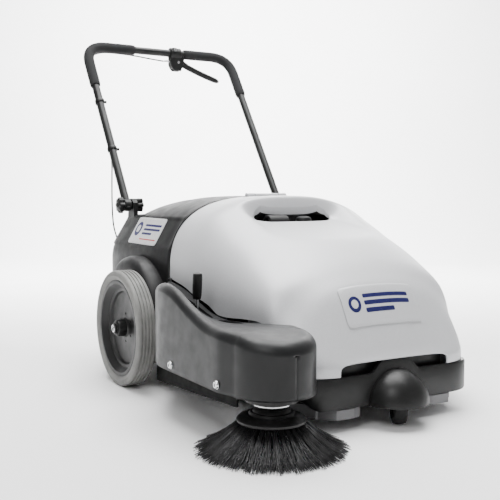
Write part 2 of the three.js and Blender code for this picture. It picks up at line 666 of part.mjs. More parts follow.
// ---- Left side ----
// A shell open towards the machine. It narrows forwards and tucks in under the hood's lower edge.
function leftSideCover() {
  const cover = (inset) => {
    const side = [
      [-110 - inset, 116 - 4 * inset], [-110 - inset, 266 - inset], [-180, 262 - inset], [-300, 226 - inset],
      [-350, 216 - inset], [-514 + inset, 214 - inset], [-560 + inset, 116 - 4 * inset],
    ];
    const plan = [
      [292 - 5 * inset, -100], [326 - inset, -100], [326 - inset, -400], [258 - inset, -500],
      [240 - inset, -560], [228 - inset, -560], [244 - inset, -504], [292 - 5 * inset, -404],
    ];
    return alongX(side, 200, 340).intersect(alongZ(plan, 90, 280));
  };
  return carve(cover(0), cover(wall));
}

add('left_side_cover', leftSideCover(), look.coverPlastic());
for (const [name, side] of sides) {
  const x0 = Math.min(side * frameRail.outerX, side * (frameRail.outerX - frameRail.thick));
  const profile = [[-75, 20], [-490, 43], [-490, frameRail.bottom - gap], [-75, frameRail.bottom - gap]];
  add(`side_skirt_${name}`, alongX(profile, x0, x0 + frameRail.thick), look.blackRubber());
}

// ---- Handle ----
// One bar of the given radius along the whole U: two legs, two bends and the bar across the top.
function handleBar(radius) {
  const { x, pivotY, pivotZ, topY, topZ, bend } = handle;
  const lean = new THREE.Vector3(0, topY - pivotY, topZ - pivotZ).normalize();
  const overlap = 0.5;
  const reach = x - bend + overlap;
  const pieces = [straightBar([-reach, topY, topZ], [reach, topY, topZ], radius, 10)];
  for (const [, side] of sides) {
    const corner = new THREE.Vector3(side * x, topY, topZ);
    const foot = new THREE.Vector3(side * x, pivotY, pivotZ).addScaledVector(lean, -16);
    const before = corner.clone().addScaledVector(lean, -bend);
    const after = corner.clone().setX(side * (x - bend));
    const legTop = before.clone().addScaledVector(lean, overlap);
    pieces.push(straightBar(foot.toArray(), legTop.toArray(), radius, 10));
    pieces.push(barAlong(new THREE.QuadraticBezierCurve3(before, corner, after), radius, 10, 5));
  }
  return fuse(...pieces);
}

const pivotHoles = rodX(-300, 300, handle.pivotY, handle.pivotZ, 5 + gap, 16);
add('handle_tube', carve(handleBar(handle.tube), pivotHoles), look.blackSteel());

// A foam sleeve from part way up a leg, round the bend and along the bar to barX.
function gripSleeve(side, barX) {
  const { x, pivotY, pivotZ, topY, topZ, bend } = handle;
  const lean = new THREE.Vector3(0, topY - pivotY, topZ - pivotZ).normalize();
  const corner = new THREE.Vector3(side * x, topY, topZ);
  const before = corner.clone().addScaledVector(lean, -bend);
  const after = corner.clone().setX(side * (x - bend));
  const path = new THREE.CurvePath();
  path.add(new THREE.LineCurve3(corner.clone().addScaledVector(lean, -165), before));
  path.add(new THREE.QuadraticBezierCurve3(before, corner, after));
  path.add(new THREE.LineCurve3(after, corner.clone().setX(side * barX)));
  return barAlong(path, handle.grip, 12, 15, handle.tube + 2);
}

add('grip_left', gripSleeve(1, 88), look.foam());
add('grip_right', gripSleeve(-1, 94), look.foam());

for (const [name, side] of sides) {
  const { x, pivotY, pivotZ, tube } = handle;
  const span = (near, far) => [Math.min(side * near, side * far), Math.max(side * near, side * far)];
  const [b0, b1] = span(236, x - tube - gap);
  const web = alongX([[222, 380], [282, 380], [268, 470], [258, 482], [242, 482], [232, 470]], b0, b1);
  const eye = rodX(b0 - 5, b1 + 5, pivotY, pivotZ, 5 + gap, 16);
  const bracket = carve(web, moved(housingBlank(0), 0, 0, gap), eye);
  add(`handle_bracket_${name}`, bracket, look.blackPlastic());
  const [h0, h1] = span(x + tube + gap, x + tube + 17);
  const lobes = circle(0, 0, 1, 30).map(([c, s], i) => {
    const reach = i % 6 < 3 ? 24 : 19;
    return [pivotY + reach * c, pivotZ + reach * s];
  });
  const [p0, p1] = span(x + tube + 8, 236 - gap - 8);
  const bolt = rodX(p0, p1, pivotY, pivotZ, 5, 16);
  add(`pivot_hub_${name}`, fuse(alongX(lobes, h0, h1), bolt), look.blackPlastic());
  const [k0, k1] = span(236 - gap, 236 - 20);
  const star = circle(0, 0, 1, 30).map(([c, s], i) => {
    const reach = i % 6 < 3 ? 22 : 15;
    return [pivotY + reach * c, pivotZ + reach * s];
  });
  const blind = rodX(p0, p1, pivotY, pivotZ, 5 + gap, 16);
  add(`pivot_knob_${name}`, carve(alongX(star, k0, k1), blind), look.blackPlastic());
}

// ---- Drive lever and its cable ----
function leverHousing() {
  const { topY, topZ, tube } = handle;
  const clamp = carve(rodX(36, 74, topY, topZ, 19, 24), rodX(20, 90, topY, topZ, tube + gap, 24));
  const cheek = (y0, y1) => alongY([[40, topZ - 16], [76, topZ - 16], [74, driveLever.pivotZ - 10],
    [52, driveLever.pivotZ - 10], [38, driveLever.pivotZ + 4]], y0, y1);
  const back = block(36, 46, topY - 12, topY + 12, driveLever.pivotZ, topZ - 14);
  const ties = [cheek(topY - 12, topY - 7 - gap), cheek(topY + 7 + gap, topY + 12)];
  const pin = rod(1, [driveLever.pivotX + 6, topY - 11, driveLever.pivotZ], [driveLever.pivotX + 6, topY + 11,
    driveLever.pivotZ], 4, 16);
  return fuse(clamp, ...ties, back, pin);
}

function leverBlade() {
  const { topY } = handle;
  const { pivotX, pivotZ } = driveLever;
  const blade = [[50, 926], [56, 948], [74, 946], [120, 922], [176, 904], [224, 889], [224, 880], [172, 892],
    [112, 908], [70, 928]];
  const bore = rod(1, [pivotX + 6, topY - 20, pivotZ], [pivotX + 6, topY + 20, pivotZ], 4 + gap, 16);
  return carve(alongY(blade, topY - 7, topY + 7), bore);
}

add('lever_housing', leverHousing(), look.blackPlastic());
add('drive_lever', leverBlade(), look.blackPlastic());

const cableRadius = 3;

function cable(points, steps) {
  const path = new THREE.CatmullRomCurve3(points.map((point) => new THREE.Vector3(...point)));
  return barAlong(path, cableRadius, 8, steps);
}

// The cable leaves the lever housing, runs under the bar and down the right-hand leg of the handle.
add('cable_upper', cable([
  [35.4, 591, 942], [0, 594, 938], [-90, 596, 944], [-180, 594, 944], [-228, 585, 932], [-244, 564, 898],
  [-245, 520, 832], [-245, 440, 716], [-246, 366, 612],
], 30), look.blackRubber());
add('cable_lower', cable([
  [-246, 363.5, 608], [-250, 366, 560], [-252, 376, 470], [-246, 386, 400], [-238, 379, 352],
], 16), look.blackRubber());

// ---- Put the origin under the middle of the whole machine ----
const bounds = new THREE.Box3().setFromObject(machine);
const centre = bounds.getCenter(new THREE.Vector3());
machine.position.set(-centre.x, -centre.y, -bounds.min.z);

export default machine;
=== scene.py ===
"""Walk-behind sweeper: the finished looks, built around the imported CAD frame."""

import json
import math
import random

import bmesh
import bpy
from mathutils import Matrix, Vector


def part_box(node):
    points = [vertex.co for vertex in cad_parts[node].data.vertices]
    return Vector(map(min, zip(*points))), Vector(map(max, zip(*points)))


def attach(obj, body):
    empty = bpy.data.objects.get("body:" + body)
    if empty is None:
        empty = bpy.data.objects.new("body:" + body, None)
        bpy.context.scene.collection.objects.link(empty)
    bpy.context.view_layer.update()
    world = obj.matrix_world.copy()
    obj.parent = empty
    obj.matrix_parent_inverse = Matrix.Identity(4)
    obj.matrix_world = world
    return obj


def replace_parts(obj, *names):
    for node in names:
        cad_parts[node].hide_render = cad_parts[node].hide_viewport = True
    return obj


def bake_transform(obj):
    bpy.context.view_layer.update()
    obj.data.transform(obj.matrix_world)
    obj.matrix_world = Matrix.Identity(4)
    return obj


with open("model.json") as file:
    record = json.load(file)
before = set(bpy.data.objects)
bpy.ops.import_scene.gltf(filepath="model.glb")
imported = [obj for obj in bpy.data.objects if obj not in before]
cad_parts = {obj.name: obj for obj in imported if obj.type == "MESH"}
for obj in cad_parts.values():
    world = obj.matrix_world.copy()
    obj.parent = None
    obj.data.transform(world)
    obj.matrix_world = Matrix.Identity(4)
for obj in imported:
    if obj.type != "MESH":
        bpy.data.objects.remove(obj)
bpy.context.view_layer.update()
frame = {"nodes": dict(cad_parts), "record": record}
MM = 0.001


# ---- Places: everything is measured from the rear axle, the machine's middle and the floor ----
def joint_named(name):
    return next(joint for joint in frame["record"]["behaviour"]["joints"] if joint["name"] == name)


def joint_place(name):
    return Vector(joint_named(name)["pos_m"])


def joint_axis(name):
    return tuple(joint_named(name)["axis"])


def middle_x(node):
    low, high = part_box(node)
    return (low[0] + high[0]) / 2


AXLE = joint_place("wheel_left_spin")
MIDDLE = middle_x("hood")
WHEEL_R = AXLE.z / MM


def at(x, y, z):
    """A point in mm from the machine's middle, the rear axle and the floor, in the frame's metres."""
    return Vector((MIDDLE + x * MM, AXLE.y + y * MM, z * MM))


def local(point):
    """The same the other way round: a frame point in mm."""
    return Vector(((point[0] - MIDDLE) / MM, (point[1] - AXLE.y) / MM, point[2] / MM))


# ---- Small mathematics ----
def smooth(t):
    t = min(max(t, 0.0), 1.0)
    return t * t * (3 - 2 * t)


def reading(table, at_value):
    """A smooth curve through a short table of (station, value) pairs."""
    if at_value <= table[0][0]:
        return table[0][1]
    if at_value >= table[-1][0]:
        return table[-1][1]
    index = next(i for i in range(1, len(table)) if table[i][0] >= at_value)
    (s0, v0), (s1, v1) = table[index - 1], table[index]

    def slope(i):
        before = table[max(i - 1, 0)]
        after = table[min(i + 1, len(table) - 1)]
        return (after[1] - before[1]) / (after[0] - before[0])

    width = s1 - s0
    t = (at_value - s0) / width
    m0, m1 = slope(index - 1) * width, slope(index) * width
    return ((2 * t**3 - 3 * t**2 + 1) * v0 + (t**3 - 2 * t**2 + t) * m0
            + (3 * t**2 - 2 * t**3) * v1 + (t**3 - t**2) * m1)


def spread(low, high, count):
    return [low + (high - low) * i / (count - 1) for i in range(count)]


def angles(count):
    """Equal steps once round a circle."""
    return [2 * math.pi * i / count for i in range(count)]


def mirrored(points):
    """A run of (u, v) points, then back again with v turned over."""
    return points + [(u, -v) for u, v in reversed(points)]


# ---- Materials ----
class Shader:
    """A principled material and the few node chains that every finish here is built from."""

    def __init__(self, name, color, roughness, metallic=0.0, coat=0.0):
        self.material = bpy.data.materials.new(name)
        self.material.use_nodes = True
        self.tree = self.material.node_tree
        self.shader = self.tree.nodes["Principled BSDF"]
        self.shader.inputs["Base Color"].default_value = (*color, 1)
        self.shader.inputs["Roughness"].default_value = roughness
        self.shader.inputs["Metallic"].default_value = metallic
        self.shader.inputs["Coat Weight"].default_value = coat
        self.shader.inputs["Coat Roughness"].default_value = 0.2
        self.shader.inputs["Specular IOR Level"].default_value = 0.3
        self.place = self.node("ShaderNodeTexCoord").outputs["Object"]
        self.height = None

    def node(self, kind, inputs=None, **values):
        made = self.tree.nodes.new(kind)
        for key, value in values.items():
            setattr(made, key, value)
        for label, value in (inputs or {}).items():
            made.inputs[label].default_value = value
        return made

    def link(self, source, target):
        self.tree.links.new(source, target)

    def noise(self, scale, detail=3.0, stretch=(1, 1, 1)):
        mapping = self.node("ShaderNodeMapping", {"Scale": stretch})
        self.link(self.place, mapping.inputs["Vector"])
        texture = self.node("ShaderNodeTexNoise", {"Scale": scale, "Detail": detail})
        self.link(mapping.outputs["Vector"], texture.inputs["Vector"])
        return texture.outputs["Fac"]

    def cells(self, scale):
        texture = self.node("ShaderNodeTexVoronoi", {"Scale": scale})
        self.link(self.place, texture.inputs["Vector"])
        return texture.outputs["Distance"]

    def bands(self, scale, distortion=0.0):
        wave = self.node("ShaderNodeTexWave", {"Scale": scale, "Distortion": distortion},
                         wave_type="BANDS", bands_direction="X")
        self.link(self.place, wave.inputs["Vector"])
        return wave.outputs["Fac"]

    def color_between(self, factor, dark, light, low=0.35, high=0.65):
        made = self.node("ShaderNodeValToRGB")
        for element, position, color in zip(made.color_ramp.elements, (low, high), (dark, light)):
            element.position = position
            element.color = (*color, 1)
        self.link(factor, made.inputs["Fac"])
        self.link(made.outputs["Color"], self.shader.inputs["Base Color"])

    def roughness_between(self, factor, low, high):
        limits = {"From Min": 0.3, "From Max": 0.7, "To Min": low, "To Max": high}
        made = self.node("ShaderNodeMapRange", limits)
        self.link(factor, made.inputs["Value"])
        self.link(made.outputs["Result"], self.shader.inputs["Roughness"])

    def bump(self, height, strength, distance):
        made = self.node("ShaderNodeBump", {"Strength": strength, "Distance": distance})
        self.link(height, made.inputs["Height"])
        if self.height is not None:
            self.link(self.height, made.inputs["Normal"])
        self.height = made.outputs["Normal"]
        self.link(self.height, self.shader.inputs["Normal"])


def moulded(name, dark, light, roughness):
    """Injection-moulded plastic: fine spark-eroded grain, faint flow clouds and light scuffing."""
    made = Shader(name, light, roughness)
    made.color_between(made.noise(9, 4), dark, light)
    made.roughness_between(made.noise(34, 5), roughness - 0.07, roughness + 0.07)
    made.bump(made.noise(900, 2), 0.10, 0.0006)
    made.bump(made.noise(14, 2), 0.05, 0.002)
    return made.material


def silver_plastic():
    """Silver-grey moulding with a fine metal flake."""
    made = Shader("silver_plastic", (0.55, 0.56, 0.58), 0.42, 0.25)
    made.color_between(made.noise(1500, 1), (0.50, 0.505, 0.52), (0.66, 0.665, 0.68), 0.4, 0.62)
    made.roughness_between(made.noise(1200, 1), 0.36, 0.52)
    made.bump(made.noise(1400, 1), 0.08, 0.0005)
    made.bump(made.noise(8, 2), 0.03, 0.003)
    return made.material


def rubber(name, dark, light, roughness=0.78):
    """Rubber with a matt bloom, a fine pitted face and dust rubbed into it."""
    made = Shader(name, light, roughness)
    made.color_between(made.noise(22, 6), dark, light, 0.3, 0.7)
    made.roughness_between(made.noise(60, 4), roughness - 0.08, roughness + 0.08)
    made.bump(made.noise(260, 4), 0.18, 0.0012)
    return made.material


def foam_grip():
    """Closed-cell foam: pinholes and a soft matt face."""
    made = Shader("foam_grip", (0.02, 0.02, 0.021), 0.85)
    made.color_between(made.cells(900), (0.004, 0.004, 0.004), (0.013, 0.013, 0.014), 0.05, 0.35)
    made.bump(made.cells(900), 0.35, 0.0008)
    made.bump(made.noise(30, 3), 0.10, 0.0015)
    return made.material


def coated_steel():
    """Powder-coated tube and plate: orange peel with small rubbed spots."""
    made = Shader("coated_steel", (0.008, 0.008, 0.008), 0.38)
    made.color_between(made.noise(18, 6), (0.005, 0.005, 0.005), (0.014, 0.014, 0.014))
    made.roughness_between(made.noise(45, 5), 0.30, 0.48)
    made.bump(made.noise(420, 2), 0.12, 0.0008)
    return made.material


def chrome():
    """Bright plating with fine turning marks."""
    made = Shader("chrome", (0.72, 0.72, 0.73), 0.16, 1.0)
    made.color_between(made.noise(40, 3), (0.62, 0.62, 0.63), (0.78, 0.78, 0.79))
    made.roughness_between(made.noise(160, 3, (1, 1, 8)), 0.10, 0.26)
    made.bump(made.noise(500, 2, (1, 1, 12)), 0.05, 0.0004)
    return made.material


def bristle_fibre():
    """Black polypropylene fibre: glossy along its length, with paler worn strands."""
    made = Shader("bristle_fibre", (0.012, 0.012, 0.013), 0.34)
    made.color_between(made.noise(260, 3), (0.004, 0.004, 0.005), (0.024, 0.023, 0.024), 0.3, 0.75)
    made.roughness_between(made.noise(300, 2), 0.26, 0.5)
    made.shader.inputs["Specular IOR Level"].default_value = 0.6
    made.bump(made.noise(900, 2), 0.2, 0.0005)
    return made.material


def pleated_paper():
    """Filter paper folded into pleats that run front to back, with painted shade that darkens each pleat's
    valley and lightens its crest.
    """
    made = Shader("pleated_paper", (0.5, 0.47, 0.4), 0.9)
    pleats = made.bands(55, 0.4)
    # painted shade: the paper colour follows the pleat wave, dark in the valleys and light on the crests
    made.color_between(pleats, (0.30, 0.28, 0.23), (0.56, 0.53, 0.45), 0.1, 0.9)
    made.bump(pleats, 0.8, 0.004)
    made.bump(made.noise(300, 4), 0.2, 0.0008)
    return made.material


def lens_glass():
    """A clear window over a row of green charge lights."""
    made = Shader("gauge_lens", (0.2, 0.4, 0.16), 0.12, coat=0.6)
    made.color_between(made.bands(26), (0.02, 0.03, 0.02), (0.16, 0.42, 0.12), 0.35, 0.6)
    made.bump(made.noise(80, 2), 0.05, 0.0005)
    return made.material


def printed_label():
    """A pale foil label, lightly brushed."""
    made = Shader("printed_label", (0.62, 0.62, 0.63), 0.4, 0.2)
    made.color_between(made.noise(120, 4, (1, 6, 1)), (0.50, 0.50, 0.51), (0.68, 0.68, 0.69))
    made.bump(made.noise(600, 2), 0.05, 0.0003)
    return made.material


def ink(name, color):
    """Screen-printed ink with a slightly uneven film."""
    made = Shader(name, color, 0.45)
    made.color_between(made.noise(300, 3), [0.75 * c for c in color], color)
    made.bump(made.noise(900, 2), 0.04, 0.0002)
    return made.material


SILVER = silver_plastic()
HOUSING = moulded("housing_plastic", (0.005, 0.005, 0.0055), (0.008, 0.008, 0.0085), 0.5)
COVER = moulded("cover_plastic", (0.006, 0.0062, 0.0065), (0.009, 0.0093, 0.0098), 0.42)
BLACK = moulded("black_plastic", (0.005, 0.005, 0.005), (0.010, 0.010, 0.010), 0.40)
HOPPER = moulded("hopper_plastic", (0.13, 0.13, 0.135), (0.17, 0.17, 0.175), 0.5)
STEEL = coated_steel()
CHROME = chrome()
TYRE = rubber("grey_tyre", (0.14, 0.14, 0.135), (0.21, 0.21, 0.20), 0.62)
RUBBER = rubber("black_rubber", (0.008, 0.008, 0.008), (0.018, 0.018, 0.018))
FOAM = foam_grip()
FIBRE = bristle_fibre()
PAPER = pleated_paper()
LENS = lens_glass()
LABEL = printed_label()
BLUE_INK = ink("blue_ink", (0.010, 0.011, 0.085))
RED_INK = ink("red_ink", (0.45, 0.02, 0.02))


# ---- Mesh helpers ----
def linked(name, bm):
    """An object in the scene that takes over a bmesh in metres."""
    mesh = bpy.data.meshes.new(name)
    bm.to_mesh(mesh)
    bm.free()
    made = bpy.data.objects.new(name, mesh)
    bpy.context.scene.collection.objects.link(made)
    return made


def finish_piece(name, bm, material, body, bevel=0.0, segments=3, smooth_angle=40.0):
    bmesh.ops.remove_doubles(bm, verts=bm.verts, dist=1e-6)
    bmesh.ops.recalc_face_normals(bm, faces=bm.faces)
    piece = linked(name, bm)
    piece.data.materials.append(material)
    piece.data.shade_smooth()
    if bevel:
        soften(piece, bevel, segments)
    sharp_by_angle(piece, smooth_angle)
    if body:
        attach(piece, body)
    return piece


def soften(piece, width, segments=3):
    modifier = piece.modifiers.new("soft_edges", "BEVEL")
    modifier.width = width * MM
    modifier.segments = segments
    modifier.limit_method = "ANGLE"
    modifier.angle_limit = math.radians(35)
    modifier.harden_normals = False


def sharp_by_angle(piece, degrees):
    mesh = piece.data
    bm = bmesh.new()
    bm.from_mesh(mesh)
    for edge in bm.edges:
        if len(edge.link_faces) == 2:
            edge.smooth = edge.calc_face_angle(0) < math.radians(degrees)
    bm.to_mesh(mesh)
    bm.free()


def skin(bm, rings, closed=True, caps=True):
    """Quads between rings of points that all have the same count."""
    rows = [[bm.verts.new(point) for point in ring] for ring in rings]
    count = len(rows[0])
    for lower, upper in zip(rows, rows[1:]):
        for j in range(count if closed else count - 1):
            k = (j + 1) % count
            quad = [lower[j], lower[k], upper[k], upper[j]]
            if len({vert.co.to_tuple(7) for vert in quad}) == 4:
                bm.faces.new(quad)
    if caps and closed:
        for row in (rows[0], rows[-1]):
            if (row[0].co - row[count // 2].co).length > 1e-6:
                bm.faces.new(row)
    return rows


def turned(name, profile, centre, axis, material, body, sides=64, **kwargs):
    """A lathe piece: (radius, station) pairs in mm around an axis through centre."""
    bm = bmesh.new()
    turn = Vector(axis).to_track_quat("Z", "Y").to_matrix()
    rings = []
    for angle in angles(sides):
        around = Vector((math.cos(angle), math.sin(angle), 0))
        rings.append([centre + turn @ (around * radius + Vector((0, 0, station))) * MM
                      for radius, station in profile])
    rings.append(rings[0])
    skin(bm, rings, caps=False)
    return finish_piece(name, bm, material, body, **kwargs)


def tube_rings(points, radius_at, sides=16):
    """Rings square to a path of points, carried along it without twisting."""
    rings = []
    normal = None
    for i, point in enumerate(points):
        ahead = points[min(i + 1, len(points) - 1)]
        behind = points[max(i - 1, 0)]
        direction = (ahead - behind).normalized()
        if normal is None:
            normal = direction.orthogonal().normalized()
        normal = (normal - direction * normal.dot(direction)).normalized()
        across = direction.cross(normal)
        radius = radius_at(i / (len(points) - 1)) * MM
        rings.append([point + (normal * math.cos(a) + across * math.sin(a)) * radius
                      for a in angles(sides)])
    return rings


def tube(name, points, radius, material, body, sides=16, **kwargs):
    bm = bmesh.new()
    radius_at = radius if callable(radius) else lambda t: radius
    skin(bm, tube_rings(points, radius_at, sides))
    return finish_piece(name, bm, material, body, **kwargs)


PLANES = {
    "xy": lambda u, v, w: at(u, v, w),
    "xz": lambda u, v, w: at(u, w, v),
    "yz": lambda u, v, w: at(w, u, v),
}


def pushed(outline, low, high, plane):
    """An outline of (u, v) in mm pushed from low to high. plane names the outline's two axes."""
    bm = bmesh.new()
    skin(bm, [[PLANES[plane](u, v, w) for u, v in outline] for w in (low, high)])
    return bm


def slab(name, outline, low, high, plane, material, body, **kwargs):
    return finish_piece(name, pushed(outline, low, high, plane), material, body, **kwargs)


def rounded(half_u, half_v, radius, steps=5, centre=(0, 0)):
    """A rounded rectangle's outline."""
    points = []
    for su, sv, start in ((1, 1, 0), (-1, 1, 90), (-1, -1, 180), (1, -1, 270)):
        for i in range(steps + 1):
            angle = math.radians(start + 90 * i / steps)
            points.append((centre[0] + su * (half_u - radius) + radius * math.cos(angle),
                           centre[1] + sv * (half_v - radius) + radius * math.sin(angle)))
    return points


def circle_points(centre, radius, count):
    return [(centre[0] + radius * math.cos(a), centre[1] + radius * math.sin(a)) for a in angles(count)]


def cut(piece, outline, low, high, plane):
    """Cuts a pushed outline out of a piece."""
    bm = pushed(outline, low, high, plane)
    bmesh.ops.recalc_face_normals(bm, faces=bm.faces)
    cutter = linked("cutter", bm)
    modifier = piece.modifiers.new("cut", "BOOLEAN")
    modifier.object = cutter
    modifier.operation = "DIFFERENCE"
    modifier.solver = "EXACT"
    settle(piece)
    bpy.data.objects.remove(cutter)


def settle(piece):
    """Applies every modifier on a piece."""
    bpy.context.view_layer.update()
    evaluated = piece.evaluated_get(bpy.context.evaluated_depsgraph_get())
    mesh = bpy.data.meshes.new_from_object(evaluated)
    piece.modifiers.clear()
    piece.data = mesh


def thicken(piece, thickness):
    modifier = piece.modifiers.new("wall", "SOLIDIFY")
    modifier.thickness = thickness * MM
    modifier.offset = -1
    modifier.use_even_offset = False
    settle(piece)


# ---- The arched body shared by hood and housing ----
def arch_point(u, half_width, spring, top, power, bottom):
    """u runs from 0 at the left bottom edge over the top to 1 at the right one."""
    side = 0.12
    if u < side:
        return half_width, bottom + (spring - bottom) * u / side
    if u > 1 - side:
        return -half_width, bottom + (spring - bottom) * (1 - u) / side
    angle = math.pi * (u - side) / (1 - 2 * side)
    c, s = math.cos(angle), math.sin(angle)
    x = math.copysign(abs(c) ** (2 / power), c) * half_width
    return x, spring + (top - spring) * abs(s) ** (2 / power)


def grid_piece(name, stations, section, columns, material, body, wall):
    """A thin shell skinned over sections at each station."""
    bm = bmesh.new()
    rows = [[at(*section(s, u)) for u in spread(0, 1, columns)] for s in stations]
    skin(bm, rows, closed=False, caps=False)
    piece = finish_piece(name, bm, material, body, smooth_angle=60)
    face_outward(piece)
    thicken(piece, wall)
    return piece


def face_outward(piece):
    """Points a shell's faces away from the machine's middle."""
    mesh = piece.data
    middle = sum((v.co for v in mesh.vertices), Vector()) / len(mesh.vertices)
    middle.z = 0.2
    votes = sum((p.center - middle).dot(p.normal) * p.area for p in mesh.polygons)
    if votes < 0:
        mesh.flip_normals()


# ---- Hood ----
HOOD_FRONT = -640
HOOD_REAR = -96
HOOD_TOP = [(-640, 146), (-632, 158), (-618, 188), (-600, 226), (-566, 288), (-530, 322), (-488, 353),
            (-413, 397), (-334, 434), (-262, 467), (-222, 487), (-190, 494), (-150, 494), (-96, 492)]
HOOD_WIDTH = [(-640, 150), (-637, 166), (-632, 190), (-618, 214), (-600, 228), (-566, 243), (-530, 255),
              (-488, 266), (-400, 280), (-300, 286), (-213, 288), (-96, 288)]
HOOD_SPRING = [(-640, 120), (-600, 124), (-566, 130), (-334, 196), (-200, 262), (-96, 292)]
HOOD_POWER = [(-640, 5.5), (-618, 3.2), (-590, 2.7), (-566, 2.6), (-488, 2.6), (-400, 2.7), (-96, 2.7)]
HOOD_EDGE = [(-640, 119), (-600, 119), (-572, 122), (-548, 150), (-524, 205), (-505, 223), (-460, 226),
             (-350, 222), (-300, 240), (-230, 256), (-178, 271), (-96, 284)]


def scoop_depth(x, y, z):
    """How far the shallow scoop in front of the crest lies below the arch at a point."""
    floor = 430 + 0.213 * (y + 251)
    reach = 122 + 0.1 * max(0.0, -262 - y)
    outward = ((x / reach) ** 4 + (max(0.0, y + 262) / 46) ** 4) ** 0.25
    over = z - floor
    return (over + math.sqrt(over * over + 9)) / 2 * (1 - smooth((outward - 1) / 0.36))


def hood_section(y, u):
    edge = reading(HOOD_EDGE, y)
    spring = max(reading(HOOD_SPRING, y), edge + 1)
    x, z = arch_point(u, reading(HOOD_WIDTH, y), spring, reading(HOOD_TOP, y), reading(HOOD_POWER, y), edge)
    return x, y, z - scoop_depth(x, y, z)


def hood():
    stations = [HOOD_FRONT, -639.4, -638, -636, -633, -629, -624] + spread(-618, -270, 56)
    stations += spread(-266, -186, 34) + spread(-180, HOOD_REAR, 12)
    shell = grid_piece("hood_shell", stations, hood_section, 161, SILVER, "hood_body", 4)
    hole_left = [(88, -208), (108, -214), (117, -223), (108, -240), (92, -249), (72, -253)]
    cut(shell, hole_left + [(-x, y) for x, y in reversed(hole_left)], 380, 475, "xy")
    cut(shell, [(-66, -104), (66, -104), (66, -90), (-66, -90)], 482, 510, "xy")
    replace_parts(shell, "hood")


def on_hood(x, y, lift):
    """A point on the hood's outer face, found by looking for x along the section."""
    low, high = (0.5, 0.88) if x < 0 else (0.12, 0.5)
    for _ in range(30):
        middle = (low + high) / 2
        if hood_section(y, middle)[0] > x:
            low = middle
        else:
            high = middle
    point = Vector(hood_section(y, (low + high) / 2))
    ahead = Vector(hood_section(y + 2, (low + high) / 2))
    beside = Vector(hood_section(y, (low + high) / 2 + 0.004))
    normal = (beside - point).cross(ahead - point).normalized()
    if normal.z < 0:
        normal.negate()
    return at(*(point + normal * lift))


def decal(name, outline, surface, lift, material, body):
    """A thin film that follows a curved surface; surface turns (u, v, height) into a place."""
    dense = []
    for (u0, v0), (u1, v1) in zip(outline, outline[1:] + outline[:1]):
        count = max(1, int(math.hypot(u1 - u0, v1 - v0) / 9))
        dense += [(u0 + (u1 - u0) * i / count, v0 + (v1 - v0) * i / count) for i in range(count)]
    centre_u = sum(u for u, _ in dense) / len(dense)
    centre_v = sum(v for _, v in dense) / len(dense)

    def ring(scale, height):
        return [surface(centre_u + (u - centre_u) * scale, centre_v + (v - centre_v) * scale, height)
                for u, v in dense]

    bm = bmesh.new()
    rows = [ring(1, lift - 1.5), ring(1, lift - 0.2), ring(0.992, lift)]
    rows += [ring(scale, lift) for scale in (0.85, 0.7, 0.55, 0.4, 0.25, 0.1, 0.01)]
    skin(bm, rows, caps=False)
    finish_piece(name, bm, material, body, smooth_angle=50)


def hood_badge():
    """The raised rounded panel on the nose, with a plain ring and bars in place of any lettering."""
    def nose(u, v, height):
        return on_hood(u, -581 - v, height)

    def flattened(radius, count):
        return [(-72 + u, 0.55 * v) for u, v in circle_points((0, 0), radius, count)]

    decal("badge_panel", rounded(104, 24, 7, 4), nose, 2.4, SILVER, "hood_body")
    decal("badge_disc", flattened(16.5, 32), nose, 2.7, BLUE_INK, "hood_body")
    decal("badge_disc_core", flattened(9, 24), nose, 3.0, SILVER, "hood_body")
    for index, (half, v) in enumerate(((64, 8), (64, 0), (40, -8))):
        bar = rounded(half, 2.4, 2.0, 3, (-46 + half, -v))
        decal(f"badge_bar_{index + 1}", bar, nose, 2.7, BLUE_INK, "hood_body")


# ---- Rear housing ----
HOUSING_TOP = [(-92, 492), (60, 491), (150, 484), (220, 471), (285, 446), (330, 410), (354, 366), (374, 300),
               (386, 200)]
HOUSING_WIDTH = [(-92, 288), (-40, 293), (60, 297), (220, 297), (300, 288), (345, 270), (372, 250),
                 (386, 238)]
FACET_LOW, FACET_HIGH = 352, 434
TRAY_FLOOR = 474
PANEL_Y, PANEL_Z, PANEL_LEAN = 352, 322, math.radians(22.6)


def facet_width(y, t):
    """Half width of the flat band that carries the label, from its lower edge (0) to its upper one (1)."""
    return reading(HOUSING_WIDTH, y) - 3 - 47 * t


def housing_section(y, u):
    top = reading(HOUSING_TOP, y)
    width = reading(HOUSING_WIDTH, y)
    spring = min(300, top - 30)
    x, z = arch_point(u, width, spring, top, 2.7, 188)
    amount = smooth((y + 88) / 12) * smooth((345 - y) / 60)
    if FACET_LOW < z < FACET_HIGH and amount > 0:
        chord = facet_width(y, (z - FACET_LOW) / (FACET_HIGH - FACET_LOW))
        x = math.copysign(abs(x) * (1 - amount) + chord * amount, x)
    tray = smooth((134 - abs(x)) / 8) * smooth((262 - y) / 9) * smooth((y - 84) / 16)
    lip = smooth((152 - abs(x)) / 20) * smooth((290 - y) / 14) * smooth((y - 60) / 60)
    lip *= min(1.0, smooth((y - 215) / 40) + smooth((x - 90) / 30))
    if z > 440:
        z += 3.0 * lip
        z -= max(0.0, z - TRAY_FLOOR) * tray
    return x, y, z


def wheel_arch(name, side):
    """A bulge that clears the wheel: a half disc with a full round edge, sunk into the housing."""
    bm = bmesh.new()
    profile = [(165, 288), (165.5, 318), (161, 331), (152, 339.5), (138, 343.5), (100, 344), (60, 344),
               (1, 344)]
    rings = []
    for angle in spread(0, math.pi, 49):
        ring = []
        for radius, x in profile:
            y = 66 + radius * math.cos(angle)
            z = max(188, 165 + radius * math.sin(angle))
            ring.append(at(side * x, max(y, -91), z))
        rings.append(ring)
    skin(bm, rings, closed=False, caps=False)
    finish_piece(name, bm, HOUSING, "chassis", smooth_angle=50)


